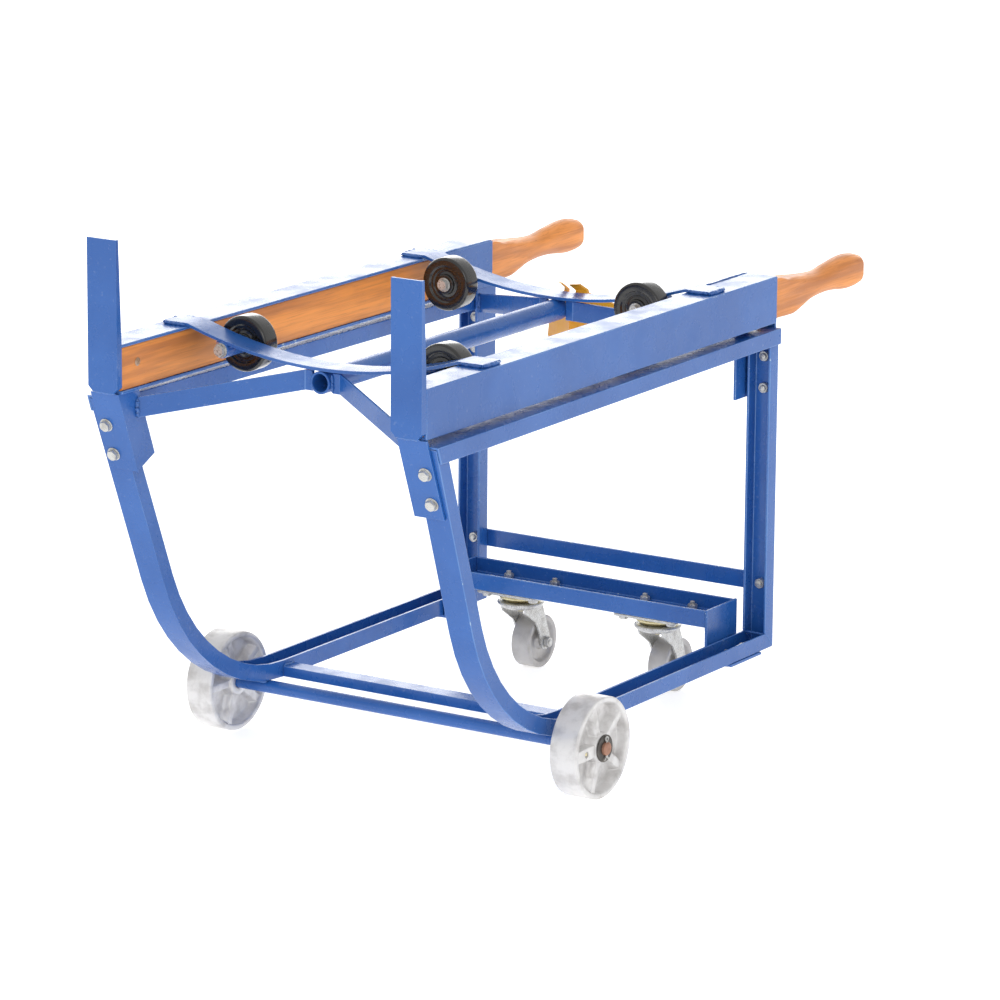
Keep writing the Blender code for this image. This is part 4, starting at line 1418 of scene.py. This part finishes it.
@dataclass
class WeldBeads:
    """Painted weld beads at the frame's joints.

    A seam is (name, start, stop, bead radius) on the right side; its points are (x, distance behind the toe
    plates' face, z), and the left side mirrors x.
    """

    seams: Sequence[tuple[str, Point, Point, float]] = (
        ("toe", (0.2355, 0.0122, 0.6725), (0.2850, 0.0122, 0.6725), 0.0038),
        ("toe_foot", (0.2420, 0.0050, 0.6000), (0.2790, 0.0050, 0.6000), 0.0024),
        ("bracket", (0.2400, 0.0140, 0.5975), (0.2870, 0.0140, 0.5975), 0.0028),
        ("brace_front", (0.2375, 0.0520, 0.5580), (0.2375, 0.0520, 0.5860), 0.0038),
        ("brace_rear", (0.2325, 0.9520, 0.5610), (0.2325, 0.9520, 0.5890), 0.0038),
        ("brace_tube_front", (0.0175, 0.1755, 0.6030), (0.0175, 0.1755, 0.6300), 0.0026),
        ("brace_tube_rear", (0.0175, 0.8135, 0.6030), (0.0175, 0.8135, 0.6300), 0.0026),
        ("keeper", (0.2325, 0.8460, 0.6715), (0.2325, 0.9850, 0.6715), 0.0020),
        ("corner", (0.2450, 0.9750, 0.1080), (0.2820, 0.9750, 0.1080), 0.0022),
        ("channel_end", (0.2385, 0.8685, 0.1250), (0.2385, 0.8685, 0.1610), 0.0020),
        ("cross_bar", (0.2425, 0.4270, 0.1015), (0.2425, 0.4540, 0.1015), 0.0024),
        ("axle", (0.2440, 0.3820, 0.0860), (0.2830, 0.3820, 0.0860), 0.0026),
    )
    straps: Sequence[tuple[End, float]] = ((End.FRONT, 0.1700), (End.REAR, 0.7970))
    pitch: float = 0.0022
    noise_seed: int = 7
    draws: random.Random = field(default_factory=lambda: random.Random(7))

    def build(self) -> None:
        """Lay the beads at every joint of both sides."""
        noise.seed_set(self.noise_seed)
        for side in Side:
            for end, near in self.straps:
                self.strap_end(end, side, near)
                self.boss(end, side, near + 0.0010)
            for name, start, stop, size in self.seams:
                ends = [(side.value * x, distance, z) for x, distance, z in (start, stop)]
                self.seam(f"weld_{name}_{side.tag}", ends, size)

    def strap_end(self, end: End, side: Side, near: float) -> None:
        """Beads along the three free edges of a strap's end on the rail.

        Args:
            end: which strap.
            side: which side.
            near: the strap's front edge, behind the toe plates' face.
        """
        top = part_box("side_rail_right")[1].z + 0.0022
        name, inner, outer, tip = f"weld_strap_{end.value}_{side.tag}", 0.2370, 0.2740, side.value * 0.2765
        for index, distance in enumerate((near - 0.0008, near + 0.0468)):
            points = [(side.value * x, distance, top) for x in (inner, outer)]
            self.seam(f"{name}_{index}", points, 0.0030)
        self.seam(f"{name}_end", [(tip, near + 0.0010, top), (tip, near + 0.0450, top)], 0.0038)

    def boss(self, end: End, side: Side, near: float) -> None:
        """Beads along a roller boss under its strap.

        Args:
            end: which strap.
            side: which side.
            near: the boss's front edge, behind the toe plates' face.
        """
        centre = middle_and_half(f"roller_{end.value}_{side.tag}")[0]
        for index, shift in enumerate((-0.0098, 0.0098)):
            x = centre.x + shift
            z = centre.z + 0.0080 + math.copysign(0.0028, shift * side.value)
            name = f"weld_boss_{end.value}_{side.tag}_{index}"
            self.seam(name, [(x, near, z), (x, near + 0.0440, z)], 0.0022)

    def seam(self, name: str, ends: Sequence[Point], size: float) -> None:
        """One bead between two points, whose second numbers are distances behind the toe plates' face.

        Args:
            name: the piece's name.
            ends: start and end.
            size: radius of the bead.
        """
        start, stop = (Vector((x, along(y), z)) for x, y, z in ends)
        count = max(int((stop - start).length / (self.pitch / 2)), 6)
        path, radii = [], []
        shift = self.draws.random() * 100
        for k in range(count + 1):
            share = k / count
            drift = noise.noise_vector(Vector((share * 9 + shift, shift, 0.0))) * size * 0.45
            path.append(start.lerp(stop, share) + drift)
            ripple = 0.88 + 0.12 * abs(math.sin(math.pi * k / 4))
            taper = min(1.0, 0.35 + 4.0 * min(share, 1 - share))
            radii.append(size * ripple * taper * (0.92 + 0.2 * noise.noise(Vector((share * 9, shift, 3.0)))))
        bm = bmesh.new()
        swept(bm, path, lambda i: radii[i], 12)
        Piece(name, closed_mesh(bm, name), "frame", Slot.BLUE, (Finish.BLUE_WELD,), sharp=80.0).make()


@dataclass
class Studio:
    """Pale floor, soft light and the camera."""

    azimuth: float = math.radians(32.87)
    elevation: float = math.radians(13.64)
    roll: float = math.radians(0.35)
    distance: float = 7.996
    target: Point = (-0.02846, -0.05218, 0.35195)
    lens: float = 190.72
    shift: tuple[float, float] = (0.0379, 0.0030)
    floor_half: float = 60.0
    sky: float = 0.80

    def build(self) -> None:
        """Make the whole studio."""
        self.floor()
        self.light()
        self.camera()

    def floor(self) -> None:
        """Pale floor: a flat grid, with a faint bump in its material."""
        bm = bmesh.new()
        bmesh.ops.create_grid(bm, x_segments=8, y_segments=8, size=self.floor_half)
        mesh = bpy.data.meshes.new("studio_floor")
        bm.to_mesh(mesh)
        bm.free()
        mesh.materials.append(PaleFloor().make())
        floor = bpy.data.objects.new("studio_floor", mesh)
        bpy.context.scene.collection.objects.link(floor)

    def light(self) -> None:
        """White surroundings, a wide low light behind the dolly and a small one in front."""
        scene = bpy.context.scene
        scene.view_settings.view_transform = "Standard"
        world = bpy.data.worlds.new("studio_world")
        world.use_nodes = True
        background = world.node_tree.nodes["Background"]
        background.inputs["Color"].default_value = rgb(1.0, 1.0, 1.0)
        background.inputs["Strength"].default_value = self.sky
        scene.world = world
        boxes = (
            ("low_back", (-3.8, 5.9, 2.3), (0.0, 0.0, 0.6), (9.0, 3.0), 225.0),
            ("front_box", (2.6, -5.0, 2.4), (0.0, 0.0, 0.4), (2.4, 2.4), 36.0),
        )
        for name, place, aim, size, power in boxes:
            lamp = bpy.data.lights.new(name, "AREA")
            lamp.shape = "RECTANGLE"
            lamp.size, lamp.size_y = size
            lamp.energy = power
            box = bpy.data.objects.new(name, lamp)
            box.location = place
            box.visible_camera = False
            box.rotation_euler = (Vector(aim) - Vector(place)).to_track_quat("-Z", "Y").to_euler()
            scene.collection.objects.link(box)

    def camera(self) -> None:
        """Camera at its place, rolled very slightly."""
        level = math.cos(self.elevation)
        towards = Vector((math.sin(self.azimuth) * level, -math.cos(self.azimuth) * level,
                          math.sin(self.elevation)))
        place = Vector(self.target) + towards * self.distance
        flat = (-towards).cross(Vector((0, 0, 1))).normalized()
        rise = flat.cross(-towards).normalized()
        right = flat * math.cos(self.roll) + rise * math.sin(self.roll)
        up = rise * math.cos(self.roll) - flat * math.sin(self.roll)
        data = bpy.data.cameras.new("studio_camera")
        data.lens = self.lens
        data.sensor_width = 36.0
        data.shift_x, data.shift_y = self.shift
        data.clip_end = 200.0
        camera = bpy.data.objects.new("studio_camera", data)
        matrix = Matrix((right, up, towards)).transposed().to_4x4()
        matrix.translation = place
        camera.matrix_world = matrix
        bpy.context.scene.collection.objects.link(camera)
        bpy.context.scene.camera = camera


def main() -> None:
    """Build the looks in order."""
    logging.basicConfig(level=logging.INFO, format="%(name)s: %(message)s")
    assemblies = (
        FormedSteel(), RoundSteel(), *(WoodenHandle(side) for side in Side),
        *(FrameFasteners(side) for side in Side), *(CradleRoller(end, side) for end in End for side in Side),
        *(FrontWheel(side) for side in Side), *(SwivelCaster(side) for side in Side),
        ChimeHook(), WeldBeads(), Studio(),
    )
    for assembly in assemblies:
        LOG.info("building %s", type(assembly).__name__)
        assembly.build()


if __name__ == "__main__":
    main()
